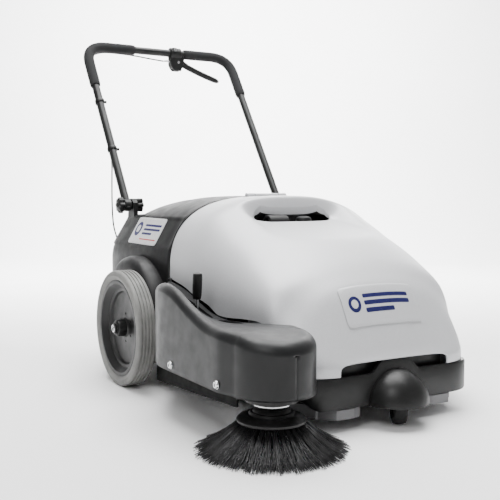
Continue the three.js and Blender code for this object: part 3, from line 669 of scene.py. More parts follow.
def panel_bed():
    """The sunk bed that the control panel lies in, on the housing's back."""
    def ring(half_x, half_up, out_of):
        points = []
        for x, up in rounded(half_x, half_up, 6, 4):
            out = out_of(up)
            points.append(at(x, PANEL_Y - up * math.sin(PANEL_LEAN) + out * math.cos(PANEL_LEAN),
                             PANEL_Z + up * math.cos(PANEL_LEAN) + out * math.sin(PANEL_LEAN)))
        return points

    bm = bmesh.new()
    rim = [(-53, 6), (0, 13.5), (53, 16.5)]
    skin(bm, [ring(100, 53, lambda up: reading(rim, up)), ring(98, 51, lambda up: 2),
              ring(96, 49, lambda up: -1), ring(88, 42, lambda up: -1)], caps=False)
    finish_piece("panel_bed", bm, HOUSING, "chassis", smooth_angle=40)


def rear_housing():
    stations = spread(-92, 40, 12) + spread(46, 130, 22) + spread(136, 240, 22) + spread(244, 384, 40) + [386]
    shell = grid_piece("housing_shell", stations, housing_section, 129, HOUSING, "chassis", 4)
    cut(shell, circle_points((-62, 150), 37.5, 40), 440, 520, "xy")
    cut(shell, [(-66, -100), (66, -100), (66, -84), (-66, -84)], 484, 510, "xy")
    cut(shell, rounded(98, 50, 8, 4, (0, 327)), 325, 400, "xz")
    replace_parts(shell, "rear_housing")
    panel_bed()
    back = slab("housing_back", [(-238, 188), (-238, 205), (238, 205), (238, 188)], 380, 386, "xz", HOUSING,
                "chassis", bevel=1.5)
    for side_name, side in (("left", 1), ("right", -1)):
        wheel_arch(f"wheel_arch_{side_name}", side)
    well = [(0.1, 423), (34, 423), (36.5, 426), (37.6, TRAY_FLOOR), (40, TRAY_FLOOR + 2),
            (43, TRAY_FLOOR + 2), (45, TRAY_FLOOR - 1), (40, TRAY_FLOOR - 4), (38.8, 424), (37, 420),
            (0.1, 420)]
    turned("cup_well", well, at(-62, 150, 0), (0, 0, 1), HOUSING, "chassis", 48)


# ---- Wheels ----
def tread_profile():
    """A tyre section: bead, side wall with two raised rings, square shoulders and a grooved tread."""
    side = [(126, -21), (129, -23.5), (136, -25), (137.5, -24.2), (141, -24.2), (142, -25), (146, -24.6),
            (148.4, -23), (149.6, -20.5)]
    tread = []
    for centre in (-13.5, -4.5, 4.5, 13.5):
        tread += [(150, centre - 3.0), (149.6, centre - 2.0), (147.2, centre - 1.5), (147.2, centre + 1.5),
                  (149.6, centre + 2.0), (150, centre + 3.0)]
    return side + tread + mirrored(side)[len(side):]


def rear_wheel(name, side):
    body = f"wheel_{name}"
    centre = at((middle_x(f"tyre_{name}") - MIDDLE) / MM, 0, WHEEL_R)
    axis = (side, 0, 0)
    tyre = turned(f"tread_{name}", tread_profile(), centre, axis, TYRE, body, 128, smooth_angle=35)
    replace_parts(tyre, f"tyre_{name}")
    dish = [(12.6, 25), (18, 25), (20.5, 23.6), (21.5, 21), (22, 3), (26, -0.5), (44, -2), (88, -3.5),
            (92, -2), (95, 3.5), (97, 4.6), (104, 5), (107, 7), (113.5, 19), (116, 21.6), (121, 22.4),
            (125.4, 21.4), (125.4, -21.4), (118, -22), (113, -20), (105, -9), (92, -9), (28, -8), (25, -20),
            (12.6, -22)]
    rim = turned(f"dish_{name}", dish, centre, axis, BLACK, body, 96, smooth_angle=28)
    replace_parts(rim, f"rim_{name}")
    for index in range(6):
        angle = math.radians(30 + 60 * index)
        spot = centre + Vector((side * -2.2, math.cos(angle) * 36, math.sin(angle) * 36)) * MM
        turned(f"hub_rivet_{name}_{index + 1}", [(0.1, 2.6), (2.4, 2.2), (3.4, 0.8), (3.6, -1), (0.1, -1)],
               spot, axis, BLACK, body, 14)


def hub_nut(name, side):
    base = at(side * 397.4, 0, WHEEL_R)
    axis = (side, 0, 0)
    ring = [(12.3, 0), (17, 0), (17.4, 0.5), (17.4, 1.8), (17, 2.3), (12.3, 2.3)]
    washer = turned(f"hub_washer_{name}", ring, base, axis, BLACK, "chassis", 48)
    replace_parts(washer, f"hub_nut_{name}")
    bm = bmesh.new()
    rings = []
    for x, scale in ((2.4, 0.95), (3.0, 1.0), (5.4, 1.0), (6.2, 0.93)):
        rings.append([base + Vector((side * x, math.cos(a) * 15 * scale, math.sin(a) * 15 * scale)) * MM
                      for a in angles(6)])
    skin(bm, rings)
    finish_piece(f"hub_hex_{name}", bm, BLACK, "chassis", bevel=0.5, segments=2)
    ring = [(6.0, 5), (6.4, 8.0), (7.4, 8.8), (8.8, 8.8), (9.8, 8.0), (10, 5)]
    turned(f"hub_ring_{name}", ring, base, axis, CHROME, "chassis", 40)


# ---- Side-broom cover ----
COVER_SIDE = -430
COVER_BOTTOM = 116
NOSE = local(joint_place("side_broom_spin")).xy
NOSE_R = 86.5
NOSE_EDGE = 24
NOSE_BACK = NOSE[1] - 1
OUTER = [(NOSE_BACK, NOSE[0] - NOSE_R), (-640, -424), (-615, -430), (-560, -430), (-400, -430), (-340, -428),
         (-300, -419), (-260, -402), (-212, -374), (-150, -334), (-104, -304)]
INNER = [(NOSE_BACK, NOSE[0] + NOSE_R), (-600, -250), (-556, -267), (-500, -282), (-470, -288),
         (-400, -291.3), (-104, -291.5)]
TOP_STATIONS = [-745, -700, -650, -560, -480, -400, -330, -200, -100]
TOP_HEIGHTS = {
    -431: [224, 232, 238, 243, 266, 296, 305, 295, 285],
    -385: [224, 232, 239, 239, 242, 256, 276, 288, 284],
    -340: [224, 232, 238, 235, 229, 227, 238, 272, 283],
    -240: [224, 231, 236, 229, 222, 219, 226, 262, 281],
}


def cover_top(x, y):
    """Height of the cover's top, read across the table above."""
    across = [(station, reading(list(zip(TOP_STATIONS, heights)), y))
              for station, heights in TOP_HEIGHTS.items()]
    return reading(across, x)


def nose_section(y, u):
    """A section through the cover's round end, whose top edge rolls over all the way round."""
    half = math.sqrt(max(0.0, NOSE_R ** 2 - (y - NOSE_BACK) ** 2))
    across = max(0.0, min(1.0, (u - 0.15) / 0.77))
    x = NOSE[0] - half * math.cos(math.pi * across)
    short = max(0.0, NOSE_EDGE - NOSE_R + math.hypot(x - NOSE[0], y - NOSE_BACK))
    z = cover_top(x, y) - NOSE_EDGE + math.sqrt(max(0.0, NOSE_EDGE ** 2 - short ** 2))
    if u < 0.15:
        z = COVER_BOTTOM + (z - COVER_BOTTOM) * u / 0.15
    if u > 0.92:
        z = COVER_BOTTOM + (z - COVER_BOTTOM) * (1 - u) / 0.08
    return x, y, z


def cover_section(y, u):
    if y < NOSE_BACK:
        return nose_section(y, u)
    outer, inner = reading(OUTER, y), reading(INNER, y)
    rear_of_nose = smooth((y - NOSE_BACK) / 60)
    out_round = NOSE_EDGE - 4 * rear_of_nose
    in_round = NOSE_EDGE - 17 * rear_of_nose
    edge_out, edge_in = outer + out_round, inner - in_round
    crown = cover_top(outer, y) - cover_top(edge_out, y)
    z_out, z_in = cover_top(outer, y), cover_top(edge_in, y)
    if u < 0.15:
        return outer, y, COVER_BOTTOM + (z_out - out_round - COVER_BOTTOM) * u / 0.15
    if u < 0.38:
        angle = math.pi / 2 * (u - 0.15) / 0.23
        return outer + out_round * (1 - math.cos(angle)), y, z_out - out_round * (1 - math.sin(angle))
    if u < 0.82:
        t = (u - 0.38) / 0.44
        x = edge_out + (edge_in - edge_out) * t
        return x, y, cover_top(x, y) + crown * (1 - t) ** 3
    if u < 0.92:
        angle = math.pi / 2 * (u - 0.82) / 0.10
        return inner - in_round * (1 - math.sin(angle)), y, z_in - in_round * (1 - math.cos(angle))
    t = (u - 0.92) / 0.08
    low = COVER_BOTTOM + 89 * smooth((y + 610) / 20)
    return inner, y, (z_in - in_round) * (1 - t) + low * t


def side_broom_cover():
    stations = [NOSE_BACK - NOSE_R * math.cos(a) for a in spread(0, math.pi / 2, 30)[:-1]]
    stations += spread(NOSE_BACK, -104, 80)
    shell = grid_piece("cover_shell", stations, cover_section, 97, COVER, "chassis", 3.5)
    cut(shell, rounded(17, 69, 15, 5, (-340, -331)), 170, 330, "xy")
    cut(shell, rounded(25, 52, 24, 8, (-338, -478)), 205, 330, "xy")
    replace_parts(shell, "side_broom_cover")
    slot = pocket_liner("slot_liner", rounded(19.5, 71.5, 17, 5, (-340, -331)), 212)
    cut(slot, [(-346, -392), (-334, -392), (-334, -268), (-346, -268)], 190, 216, "xy")
    pocket_liner("scoop_liner", rounded(27.5, 54.5, 26, 8, (-338, -478)), 206)
    for name, y in (("rear", -403), ("front", -613)):
        cover_bolt(name, y)


def pocket_liner(name, outline, floor):
    """The sunk walls and floor under an opening in the cover."""
    bm = bmesh.new()
    centre_x = sum(p[0] for p in outline) / len(outline)
    centre_y = sum(p[1] for p in outline) / len(outline)

    def cover_z(y):
        return cover_top(centre_x, y) - 1.5

    def ring(scale, z_of):
        return [at(centre_x + (x - centre_x) * scale, centre_y + (y - centre_y) * scale, z_of(y))
                for x, y in outline]

    rings = [ring(1.0, cover_z), ring(0.97, lambda y: cover_z(y) - 9), ring(0.88, lambda y: floor + 2),
             ring(0.8, lambda y: floor)]
    rows = skin(bm, rings, caps=False)
    bm.faces.new(rows[-1])
    piece = finish_piece(name, bm, COVER, "chassis", smooth_angle=50)
    return piece


def cover_bolt(name, y):
    base = at(COVER_SIDE - 0.4, y, 132)
    axis = (-1, 0, 0)
    head = [(0.1, 2.6), (3.2, 2.6), (3.6, 5.6), (6.0, 5.4), (7.6, 3.6), (8.0, 1.4), (9.0, 1.2), (9.0, 0),
            (0.1, 0)]
    piece = turned(f"bolt_{name}", head, base, axis, CHROME, "chassis", 32)
    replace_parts(piece, f"cover_bolt_{name}")


# ---- Brooms ----
def side_broom():
    centre = at(*NOSE, 0)
    up = (0, 0, 1)
    disc = [(0.1, 58.6), (62, 58.6), (67, 57.5), (69.6, 60), (69.6, 64), (66, 67.5), (60, 69), (54, 72.5),
            (46, 73.5), (43, 78), (38.5, 79), (36, 84), (30, 89), (14, 91), (12, 93), (12, 107), (0.1, 107)]
    holder = turned("broom_holder", disc, centre, up, BLACK, "side_broom", 72, smooth_angle=35)
    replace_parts(holder, "side_broom_disc")
    ring = [(34, 90.5), (37, 90.5), (38.2, 92), (38.2, 95), (37, 96.5), (34, 96.5)]
    turned("broom_ring", ring + ring[:1], centre, up, CHROME, "side_broom", 64)
    bristles = bmesh.new()
    rng = random.Random(7)
    tufts = 34
    strands = 44
    for tuft in range(tufts):
        tuft_angle = 2 * math.pi * tuft / tufts
        for _ in range(strands):
            row = rng.random()
            root_r = 50 + 16 * row
            spread_angle = tuft_angle + rng.gauss(0, 0.035)
            tip_angle = tuft_angle + rng.gauss(0, 0.085)
            length = 0.95 + 0.05 * rng.random()
            tip_r = min((130 + 29 * row) * length + rng.uniform(-3, 3), 157.4)
            tip_z = 0.8 + rng.random() * 2.5 + (1 - length) * 30
            strand(bristles, centre, spread_angle, tip_angle, root_r, tip_r, 59.0, tip_z, 1.15)
    piece = finish_piece("broom_bristles", bristles, FIBRE, "side_broom", smooth_angle=180)
    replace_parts(piece, "side_broom_bristles")


def strand(bm, centre, angle0, angle1, r0, r1, z0, z1, thick):
    """One bristle: a three-sided tapered sliver that sags a little towards the floor."""
    path = []
    for t in (0.0, 0.35, 0.7, 1.0):
        angle = angle0 + (angle1 - angle0) * t
        sag = math.sin(t * math.pi) * 6.0
        radius = r0 + (r1 - r0) * t
        height = z0 + (z1 - z0) * t - sag
        path.append(centre + Vector((math.cos(angle) * radius, math.sin(angle) * radius, height)) * MM)
    rings = tube_rings(path, lambda t: thick * (1 - 0.45 * t), 3)
    skin(bm, rings)


def main_broom():
    joint = local(joint_place("main_broom_spin"))
    centre = at(0, joint.y, joint.z)
    core = mirrored([(0.1, -309), (9.5, -309), (9.5, -249), (34, -248), (35, -246)])
    shaft = turned("roller_core", core, centre, (1, 0, 0), BLACK, "main_broom", 40)
    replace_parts(shaft, "main_broom_core")
    bm = bmesh.new()
    rng = random.Random(11)
    rows = 10
    for row in range(rows):
        for station in range(74):
            x = -243 + 486 * station / 73
            twist = 2 * math.pi * row / rows + 0.9 * abs(x) / 243
            for _ in range(4):
                angle = twist + rng.gauss(0, 0.05)
                tip = 128.5 - 4 * rng.random()
                root = centre + Vector((x, math.cos(angle) * 34, math.sin(angle) * 34)) * MM
                lean = angle + rng.gauss(0, 0.05)
                reach = Vector((x + rng.uniform(-3, 3), math.cos(lean) * tip, math.sin(lean) * tip))
                end = centre + reach * MM
                skin(bm, tube_rings([root, (root + end) / 2, end], lambda t: 1.5 - 0.6 * t, 3))
    piece = finish_piece("roller_bristles", bm, FIBRE, "main_broom", smooth_angle=180)
    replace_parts(piece, "main_broom_bristles")


# ---- Bumper, dome and caster ----
def bumper():
    bm = bmesh.new()
    flat, corner_x, corner_y, front, thick = 162, 72, 40, -640, 11

    def outline(inset):
        points = []
        for side, start in ((-1, math.pi), (1, 1.5 * math.pi)):
            for angle in spread(start, start + math.pi / 2, 15):
                points.append((side * flat + (corner_x - inset) * math.cos(angle),
                               front + corner_y + (corner_y - inset) * math.sin(angle)))
        dense = []
        for (x0, y0), (x1, y1) in zip(points, points[1:]):
            count_x = max(1, int(abs(x1 - x0) / 6))
            dense += [(x0 + (x1 - x0) * i / count_x, y0 + (y1 - y0) * i / count_x) for i in range(count_x)]
        return dense + points[-1:]

    face, back = outline(0), outline(thick)

    def raised(ring, t):
        """The outline lifted to t, from the lower edge (0) to the upper one (1) with its tab."""
        places = []
        for x, y in ring:
            bottom = 50 + 22 * smooth((-x - 196) / 40)
            top = 118 + 25 * smooth((70 - abs(x)) / 36)
            places.append(at(x, y, bottom + (top - bottom) * t))
        return places

    rings = [raised(outline(2.2 if t in (0.0, 1.0) else 0), t) for t in (0.0, 0.05, 0.5, 0.93, 1.0)]
    back = [back[int(i * len(back) / len(face))] for i in range(len(face))]
    rings += [raised(back, t) for t in (1.0, 0.0)]
    skin(bm, [list(column) for column in zip(*rings)])
    band = finish_piece("bumper_band", bm, BLACK, "chassis", smooth_angle=50)
    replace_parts(band, "front_bumper")


DOME_R, DOME_Y, DOME_Z = 74, -638, 50


def caster_dome():
    """The front half of a ball's upper half, with its lower edge turned in."""
    bm = bmesh.new()
    profile = [(DOME_R - 4, DOME_Z - 1.4)]
    profile += [(DOME_R * math.cos(b), DOME_Z + DOME_R * math.sin(b)) for b in spread(0, math.pi / 2, 16)]
    rings = [[at(reach * math.cos(a), DOME_Y + reach * math.sin(a), z) for reach, z in profile]
             for a in spread(math.pi, 2 * math.pi, 41)]
    skin(bm, rings, closed=False, caps=False)
    dome = finish_piece("dome_shell", bm, BLACK, "chassis", smooth_angle=50)
    thicken(dome, 3)
    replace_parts(dome, "caster_dome")


def caster():
    low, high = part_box("caster_wheel")
    centre = (Vector(low) + Vector(high)) / 2
    profile = mirrored([(5, -12), (12, -12.5), (14, -9), (24, -9), (27, -12.5), (34, -14.5), (38, -13),
                        (39.8, -8)])
    roller = turned("caster_roller_tread", profile, centre, joint_axis("caster_roll"), RUBBER,
                    "caster_roller", 56, smooth_angle=35)
    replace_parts(roller, "caster_wheel")


# ---- Handle ----
FOLD = local(joint_place("handle_fold"))
HANDLE_X, HANDLE_Y, HANDLE_Z, HANDLE_BEND = 262, 591, 967, 72
LEAN = Vector((0, HANDLE_Y - FOLD.y, HANDLE_Z - FOLD.z)).normalized()


def on_leg(along):
    """A point on the right leg's centre line, so far up from the fold."""
    return Vector((-HANDLE_X, FOLD.y, FOLD.z)) + LEAN * along


def corner_bend(side, count):
    """The rounded corner on one side, from the leg to the crossbar."""
    corner = Vector((side * HANDLE_X, HANDLE_Y, HANDLE_Z))
    before = corner - LEAN * HANDLE_BEND
    after = corner - Vector((side * HANDLE_BEND, 0, 0))
    return [before.lerp(corner, t).lerp(corner.lerp(after, t), t) for t in spread(0, 1, count)]


def handle_path():
    """The whole tube: leg, corner, crossbar, corner, leg."""
    bend = corner_bend(-1, 14)
    foot = on_leg(-14)
    count = int((bend[0] - foot).length / 40)
    points = [foot.lerp(bend[0], i / count) for i in range(count)] + bend
    return points + [Vector((-p.x, p.y, p.z)) for p in reversed(points)]


def handle():
    path = handle_path()
    bar = tube("handle_bar", [at(*p) for p in path], 12, STEEL, "handle", 28)
    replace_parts(bar, "handle_tube")
    grip("right", -1, -94)
    grip("left", 1, 88)
    lever_clamp()
    drive_lever()
    cable_and_clips()
    for name, side in (("left", 1), ("right", -1)):
        pivot(name, side)


def grip(name, side, bar_x):
    """A foam sleeve, slightly loose and squared off at its ends."""
    bend = corner_bend(side, 18)
    start = Vector((side * HANDLE_X, HANDLE_Y, HANDLE_Z)) - LEAN * 165
    end = Vector((bar_x, HANDLE_Y, HANDLE_Z))
    path = [start.lerp(bend[0], t) for t in spread(0, 1, 12)[:-1]] + bend
    path += [bend[-1].lerp(end, t) for t in spread(0, 1, 12)[1:]]

    def radius(t):
        return 16.4 + 0.15 * math.sin(t * 70) - 1.4 * max(0.0, 1 - min(t, 1 - t) * 90)

    piece = tube(f"foam_{name}", [at(*p) for p in path], radius, FOAM, "handle", 28)
    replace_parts(piece, f"grip_{name}")


def lever_clamp():
    """The drive lever's clamp: a split ring round the bar, a hinge box below it and its screw."""
    centre = at(55, 591, 967)
    ring = mirrored([(12.4, -19), (17.5, -19), (19, -17.5)])
    clamp = turned("lever_clamp", ring + ring[:1], centre, (1, 0, 0), BLACK, "handle", 48)
    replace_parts(clamp, "lever_housing")
    box = [(36, 962), (36, 930), (42, 916), (50, 909), (74, 909), (79, 922), (84, 936), (86, 950), (80, 964),
           (70, 972), (50, 974)]
    for index, (y0, y1) in enumerate(((578.5, 583.4), (598.6, 603.5))):
        slab(f"lever_cheek_{index + 1}", box, y0, y1, "xz", BLACK, "handle", bevel=1.4)
    slab("lever_back", [(36, 962), (36, 932), (43, 917), (49, 920), (44, 934), (44, 962)], 583, 599, "xz",
         BLACK, "handle", bevel=1.0)
    slab("lever_lug", rounded(9, 14.5, 4, 4, (49, 971)), 575.5, 584, "xz", BLACK, "handle", bevel=1.6)
    turned("lever_screw", [(0.1, 4), (2, 4), (2.3, 5.8), (4.6, 5.6), (5.6, 3.6), (5.8, 0), (0.1, 0)],
           at(49, 575.5, 977), (0, -1, 0), CHROME, "handle", 24)
    turned("lever_pin_head", [(0.1, 2), (4.4, 2), (5, 1.2), (5, -0.5), (0.1, -0.5)], at(64, 578.5, 938),
           (0, -1, 0), CHROME, "handle", 24)
    stub = ((35, 591, 941), (30, 591, 941), (22, 592, 940.4), (12, 592.4, 939.6))
    tube("cable_adjuster", [at(*p) for p in stub], lambda t: 4.2 if t < 0.4 else 3.4 - 0.6 * t, CHROME,
         "handle", 20)


def drive_lever():
    """The long lever blade: a folded channel that tapers to a round tip."""
    bm = bmesh.new()
    axis = [(50, 938, 11.5, 6.6), (64, 940, 13, 7.0), (76, 939, 12, 7.0), (88, 933, 10.5, 7.2),
            (106, 924, 9.2, 7.4), (134, 913, 9.0, 7.6), (168, 901, 9.0, 7.6), (196, 892, 8.8, 7.4),
            (212, 887, 8.2, 7.0), (220, 884.5, 6.4, 5.6), (224.5, 883, 3.0, 3.0)]
    rings = []
    for x, z, tall, wide in axis:
        rings.append([at(x + 0.34 * tall * math.sin(a), 591 + wide * math.cos(a), z + tall * math.sin(a))
                      for a in angles(24)])
    skin(bm, rings)
    blade = finish_piece("lever_blade", bm, BLACK, "drive_lever_body", smooth_angle=50)
    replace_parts(blade, "drive_lever")


def smooth_path(knots, per=8):
    """A Catmull-Rom curve through knots in mm."""
    points = []
    knots = [Vector(k) for k in knots]
    padded = [knots[0] * 2 - knots[1]] + knots + [knots[-1] * 2 - knots[-2]]
    for i in range(1, len(padded) - 2):
        p0, p1, p2, p3 = padded[i - 1:i + 3]
        for t in spread(0, 1, per + 1)[:-1]:
            points.append(0.5 * ((2 * p1) + (p2 - p0) * t + (2 * p0 - 5 * p1 + 4 * p2 - p3) * t * t
                                 + (3 * p1 - p0 - 3 * p2 + p3) * t**3))
    return points + [knots[-1]]


def cable_and_clips():
    upper = [(12, 592, 939.6), (-44, 595, 945), (-90, 603, 951), (-150, 606.5, 954), (-200, 606.5, 952),
             (-238, 603, 937), (-255, 592, 912), (-260, 566, 878)]
    behind = Vector((0, LEAN.z, -LEAN.y)) * 15
    upper += [tuple(on_leg(along) + behind) for along in (470, 400, 330, 260, 200)]
    run = tube("cable_run", [at(*p) for p in smooth_path(upper)], 2.4, RUBBER, "handle", 12)
    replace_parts(run, "cable_upper")
    lower = [upper[-1], (-262, 366, 580), (-263, 365, 520), (-259, 374, 450), (-250, 386, 396),
             (-240, 380, 352)]
    tail = tube("cable_tail", [at(*p) for p in smooth_path(lower, 10)], 2.4, RUBBER, None, 12)
    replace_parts(tail, "cable_lower")
    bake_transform(tail)
    turned("cable_gland", [(2.6, 14), (4.0, 12), (6.2, 3), (7.5, 1), (7.5, -6), (2.6, -6), (2.6, 14)],
           at(-238, 374, 344), (0.0, 0.5, 0.86), BLACK, "chassis", 28)
    for index, along in enumerate((380, 200)):
        centre = on_leg(along)
        ring = mirrored([(12.2, -6), (14.2, -6), (14.8, -5)])
        turned(f"cable_clip_{index + 1}", ring + ring[:1], at(*centre), tuple(LEAN), BLACK, "handle", 32)
        hook = [centre + Vector((x, -3, 0)) for x in (11, 16, 20)]
        tube(f"cable_hook_{index + 1}", [at(*p) for p in hook], 4.4, BLACK, "handle", 16)


def star(radius, dip, lobes):
    """A lobed outline that dips between its lobes."""
    points = []
    for angle in angles(60):
        wave = 0.5 + 0.5 * math.cos(lobes * angle)
        reach = radius - dip * (1 - wave ** 0.6)
        points.append((reach * math.cos(angle), reach * math.sin(angle)))
    return points


def pivot(name, side):
    """The fold joint: bracket on the housing, lobed hub outside, star knob and screw inside."""
    def disc(label, outline, stations, material, body):
        bm = bmesh.new()
        skin(bm, [[at(side * x, FOLD.y + y * k, FOLD.z + z * k) for y, z in outline] for x, k in stations])
        return finish_piece(label, bm, material, body, smooth_angle=40)

    hub_stations = ((274.6, 0.9), (276, 1.0), (286, 1.0), (289, 0.93), (291, 0.7))
    hub = disc(f"hub_lobes_{name}", star(23.5, 4.5, 8), hub_stations, BLACK, "handle")
    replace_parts(hub, f"pivot_hub_{name}")
    turned(f"hub_screw_{name}", [(0.1, 7.5), (5, 7.5), (8, 6), (9, 3.5), (9, 0), (0.1, 0)],
           at(side * 287, FOLD.y, FOLD.z), (side, 0, 0), STEEL, "handle", 6)
    knob_stations = ((235.4, 0.7), (234, 0.82), (229, 0.95), (221, 1.0), (217.5, 0.95), (216, 0.8))
    knob = disc(f"star_knob_{name}", star(22, 7, 6), knob_stations, BLACK, f"knob_{name}")
    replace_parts(knob, f"pivot_knob_{name}")
    slab(f"pivot_eye_{name}", circle_points((FOLD.y, FOLD.z), 17, 36), side * HANDLE_X - 10,
         side * HANDLE_X + 10, "yz", STEEL, "handle", bevel=2)
    turned(f"pivot_screw_{name}", [(4.8, -16), (5, -15.5), (5, 15.5), (4.8, 16)],
           at(side * 244, FOLD.y, FOLD.z), (1, 0, 0), CHROME, "handle", 20)


# ---- Lift lever ----
def lift_lever():
    low, high = at(-340, -336, 136), at(-340, -350, 264)
    rod_piece = tube("lever_rod", [low, high], 4.2, CHROME, "lift_lever", 24)
    profile = [(0.1, 0), (8.6, 0), (9.6, 1.2), (10.2, 8), (10.8, 24), (11, 48), (10.8, 55), (9.6, 58.2),
               (6, 59.4), (0.1, 59.4)]
    grip_piece = turned("lever_grip", profile, high, (0, -4, 59), BLACK, "lift_lever", 40, smooth_angle=50)
    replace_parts(grip_piece, "lift_lever_grip")


# ---- Side label ----
def side_label():
    """The foil plate on the housing's right-hand facet, with a plain ring, bars and a rule."""
    def facet(y, z, height):
        t = (z - FACET_LOW) / (FACET_HIGH - FACET_LOW)
        x = facet_width(y, t)
        return at(-x, y, z) + Vector((-82, 0, 47)).normalized() * height * MM

    def print_on(name, outline, lift, material):
        decal(name, outline, facet, lift, material, "chassis")

    middle = 395
    print_on("label_plate", rounded(88, 35, 8, 5, (88, middle)), 1.2, LABEL)
    print_on("label_disc", circle_points((146, middle + 4), 19, 32), 1.5, BLUE_INK)
    print_on("label_disc_core", circle_points((146, middle + 4), 10, 24), 1.8, LABEL)
    for index, (half, z) in enumerate(((50, middle + 15), (50, middle + 4), (30, middle - 7))):
        bar = rounded(half, 2.8, 2.4, 3, (112 - half, z))
        print_on(f"label_bar_{index + 1}", bar, 1.5, BLUE_INK)
    print_on("label_rule", rounded(50, 1.4, 1.2, 2, (62, middle - 22)), 1.5, RED_INK)


# ---- Filter handle and knob ----
def filter_controls():
    """The strap that lifts the filter and the knob that holds it, both under the hood's grip hole."""
    low, high = (local(corner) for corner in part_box("filter_handle"))
    middle_y, top = (low.y + high.y) / 2, high.z
    bm = bmesh.new()
    sides = []
    for reach, offset in ((22, 0.0), (15, 7.0)):
        path = [(middle_y - reach, low.z + offset)]
        path += [(middle_y + reach * math.cos(a), top - 22 + reach * math.sin(a))
                 for a in spread(math.pi, 0, 19)]
        sides.append(path + [(middle_y + reach, low.z + offset)])
    outline = sides[0] + sides[1][::-1]
    skin(bm, [[at(x, y, z) for y, z in outline] for x in (low.x, high.x)])
    strap = finish_piece("filter_strap", bm, HOUSING, "chassis", bevel=1.6, smooth_angle=35)
    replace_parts(strap, "filter_handle")
    slab("filter_strap_foot", rounded(28, 30, 4, 4, ((low.x + high.x) / 2, middle_y)), low.z, low.z + 5, "xy",
         HOUSING, "chassis", bevel=1.2)
    low, high = (local(corner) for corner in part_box("filter_knob"))
    base, top = low.z, high.z - low.z
    profile = [(0.1, 0), (14, 0), (14, 11), (9, 12.5), (9, top - 25), (13, top - 21), (19, top - 19),
               (20.6, top - 15), (20.6, top - 8), (18.6, top - 3.5), (12, top - 0.8), (4, top), (0.1, top)]
    spot = at((low.x + high.x) / 2, (low.y + high.y) / 2, base)
    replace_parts(turned("filter_knob_turned", profile, spot, (0, 0, 1), COVER, "chassis", 48), "filter_knob")


# ---- CAD nodes that stay, with their finishes ----
# Each finish with its nodes and the width of their softened edges in mm.
KEPT = (
    (STEEL, {"main_frame": 1.2, "transaxle": 1.5, "rear_axle": 0.8, "broom_tunnel": 0.8, "broom_drive": 1.5,
             "caster_fork": 0.6, "side_broom_bracket": 0.6, "side_broom_arm": 0.8, "side_broom_motor": 1.5}),
    (BLACK, {"rear_skirt": 1.0, "control_panel": 1.0, "battery": 4.0, "notch_panel": 0.8,
             "handle_bracket_left": 1.4, "handle_bracket_right": 1.4}),
    (CHROME, {"key": 0.5, "caster_axle": 0.4, "lift_lever_rod": 0.4}),
    (RUBBER, {"shaker_button": 1.0, "side_skirt_left": 0.8, "side_skirt_right": 0.8}),
    (SILVER, {"hood_hinge": 0.6, "hinge_bracket": 0.6}),
    (LENS, {"battery_gauge": 0.5}),
    (PAPER, {"dust_filter": 2.0}),
    (HOPPER, {"hopper": 1.2}),
    (COVER, {"left_side_cover": 3.0}),
)


def dress_kept_nodes():
    for material, nodes in KEPT:
        for node, bevel in nodes.items():
            piece = frame["nodes"][node]
            for slot_entry in piece.material_slots:
                slot_entry.material = material
            soften(piece, bevel, 2)


# ---- Stage, light and camera ----
AZIMUTH, ELEVATION, ROLL = math.radians(-30.6), math.radians(4.31), math.radians(0.18)
CAMERA = (-1195.1, -2031.0, 517.0)
SENSOR_WIDTH, LENS_LENGTH = 36, 60.34104


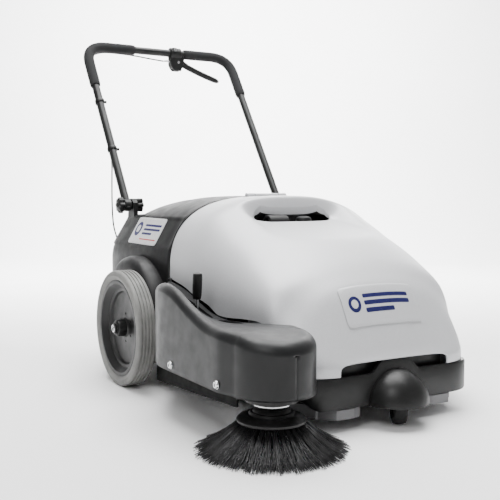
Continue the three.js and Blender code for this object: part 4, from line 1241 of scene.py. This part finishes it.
def stage():
    """A floor that curves up into the backdrop behind the machine, square to the camera."""
    bm = bmesh.new()
    curve = [(3.5 + 1.5 * math.sin(a), 1.5 - 1.5 * math.cos(a)) for a in spread(0, math.pi / 2, 12)]
    rings = [[(-9.0, y, z), (9.0, y, z)] for y, z in [(-8.0, 0.0), *curve, (5.0, 9.0)]]
    skin(bm, rings, closed=False, caps=False)
    floor = linked("floor", bm)
    floor.data.transform(Matrix.Rotation(AZIMUTH, 4, "Z"))
    floor.data.shade_smooth()
    made = Shader("pale_floor", (0.9, 0.9, 0.9), 0.7)
    made.color_between(made.noise(3, 2), (0.95, 0.95, 0.95), (0.97, 0.97, 0.97))
    floor.data.materials.append(made.material)


def area_light(name, place, target, size, power):
    data = bpy.data.lights.new(name, "AREA")
    data.shape = "RECTANGLE"
    data.size, data.size_y = size
    data.energy = power
    light = bpy.data.objects.new(name, data)
    light.location = place
    light.rotation_euler = (Vector(target) - Vector(place)).to_track_quat("-Z", "Y").to_euler()
    bpy.context.scene.collection.objects.link(light)


def lights():
    world = bpy.data.worlds.new("studio")
    bpy.context.scene.world = world
    world.use_nodes = True
    background = world.node_tree.nodes["Background"]
    background.inputs["Color"].default_value = (1, 1, 1, 1)
    background.inputs["Strength"].default_value = 0.42
    middle = (0.05, -0.2, 0.3)
    area_light("key", (-2.4, -2.2, 2.8), middle, (1.6, 1.6), 55)
    area_light("top", (0.2, 0.2, 3.0), middle, (2.6, 2.6), 250)
    area_light("rim", (2.4, 1.4, 1.8), middle, (1.2, 1.8), 35)
    area_light("backdrop", (0.9, 1.9, 2.6), (2.0, 4.2, 0.9), (3.0, 1.0), 700)


def camera():
    data = bpy.data.cameras.new("camera")
    data.sensor_width = SENSOR_WIDTH
    data.lens = LENS_LENGTH
    made = bpy.data.objects.new("camera", data)
    flat = math.cos(ELEVATION)
    forward = Vector((-math.sin(AZIMUTH) * flat, math.cos(AZIMUTH) * flat, -math.sin(ELEVATION)))
    aim = forward.to_track_quat("-Z", "Y").to_matrix() @ Matrix.Rotation(ROLL, 3, "Z")
    made.location = at(*CAMERA)
    made.rotation_euler = aim.to_euler()
    bpy.context.scene.collection.objects.link(made)
    bpy.context.scene.camera = made


# ---- Build ----
camera()
lights()
stage()
hood()
hood_badge()
rear_housing()
side_label()
side_broom_cover()
bumper()
caster_dome()
caster()
for wheel_name, wheel_side in (("left", 1), ("right", -1)):
    rear_wheel(wheel_name, wheel_side)
    hub_nut(wheel_name, wheel_side)
side_broom()
main_broom()
handle()
lift_lever()
filter_controls()
dress_kept_nodes()
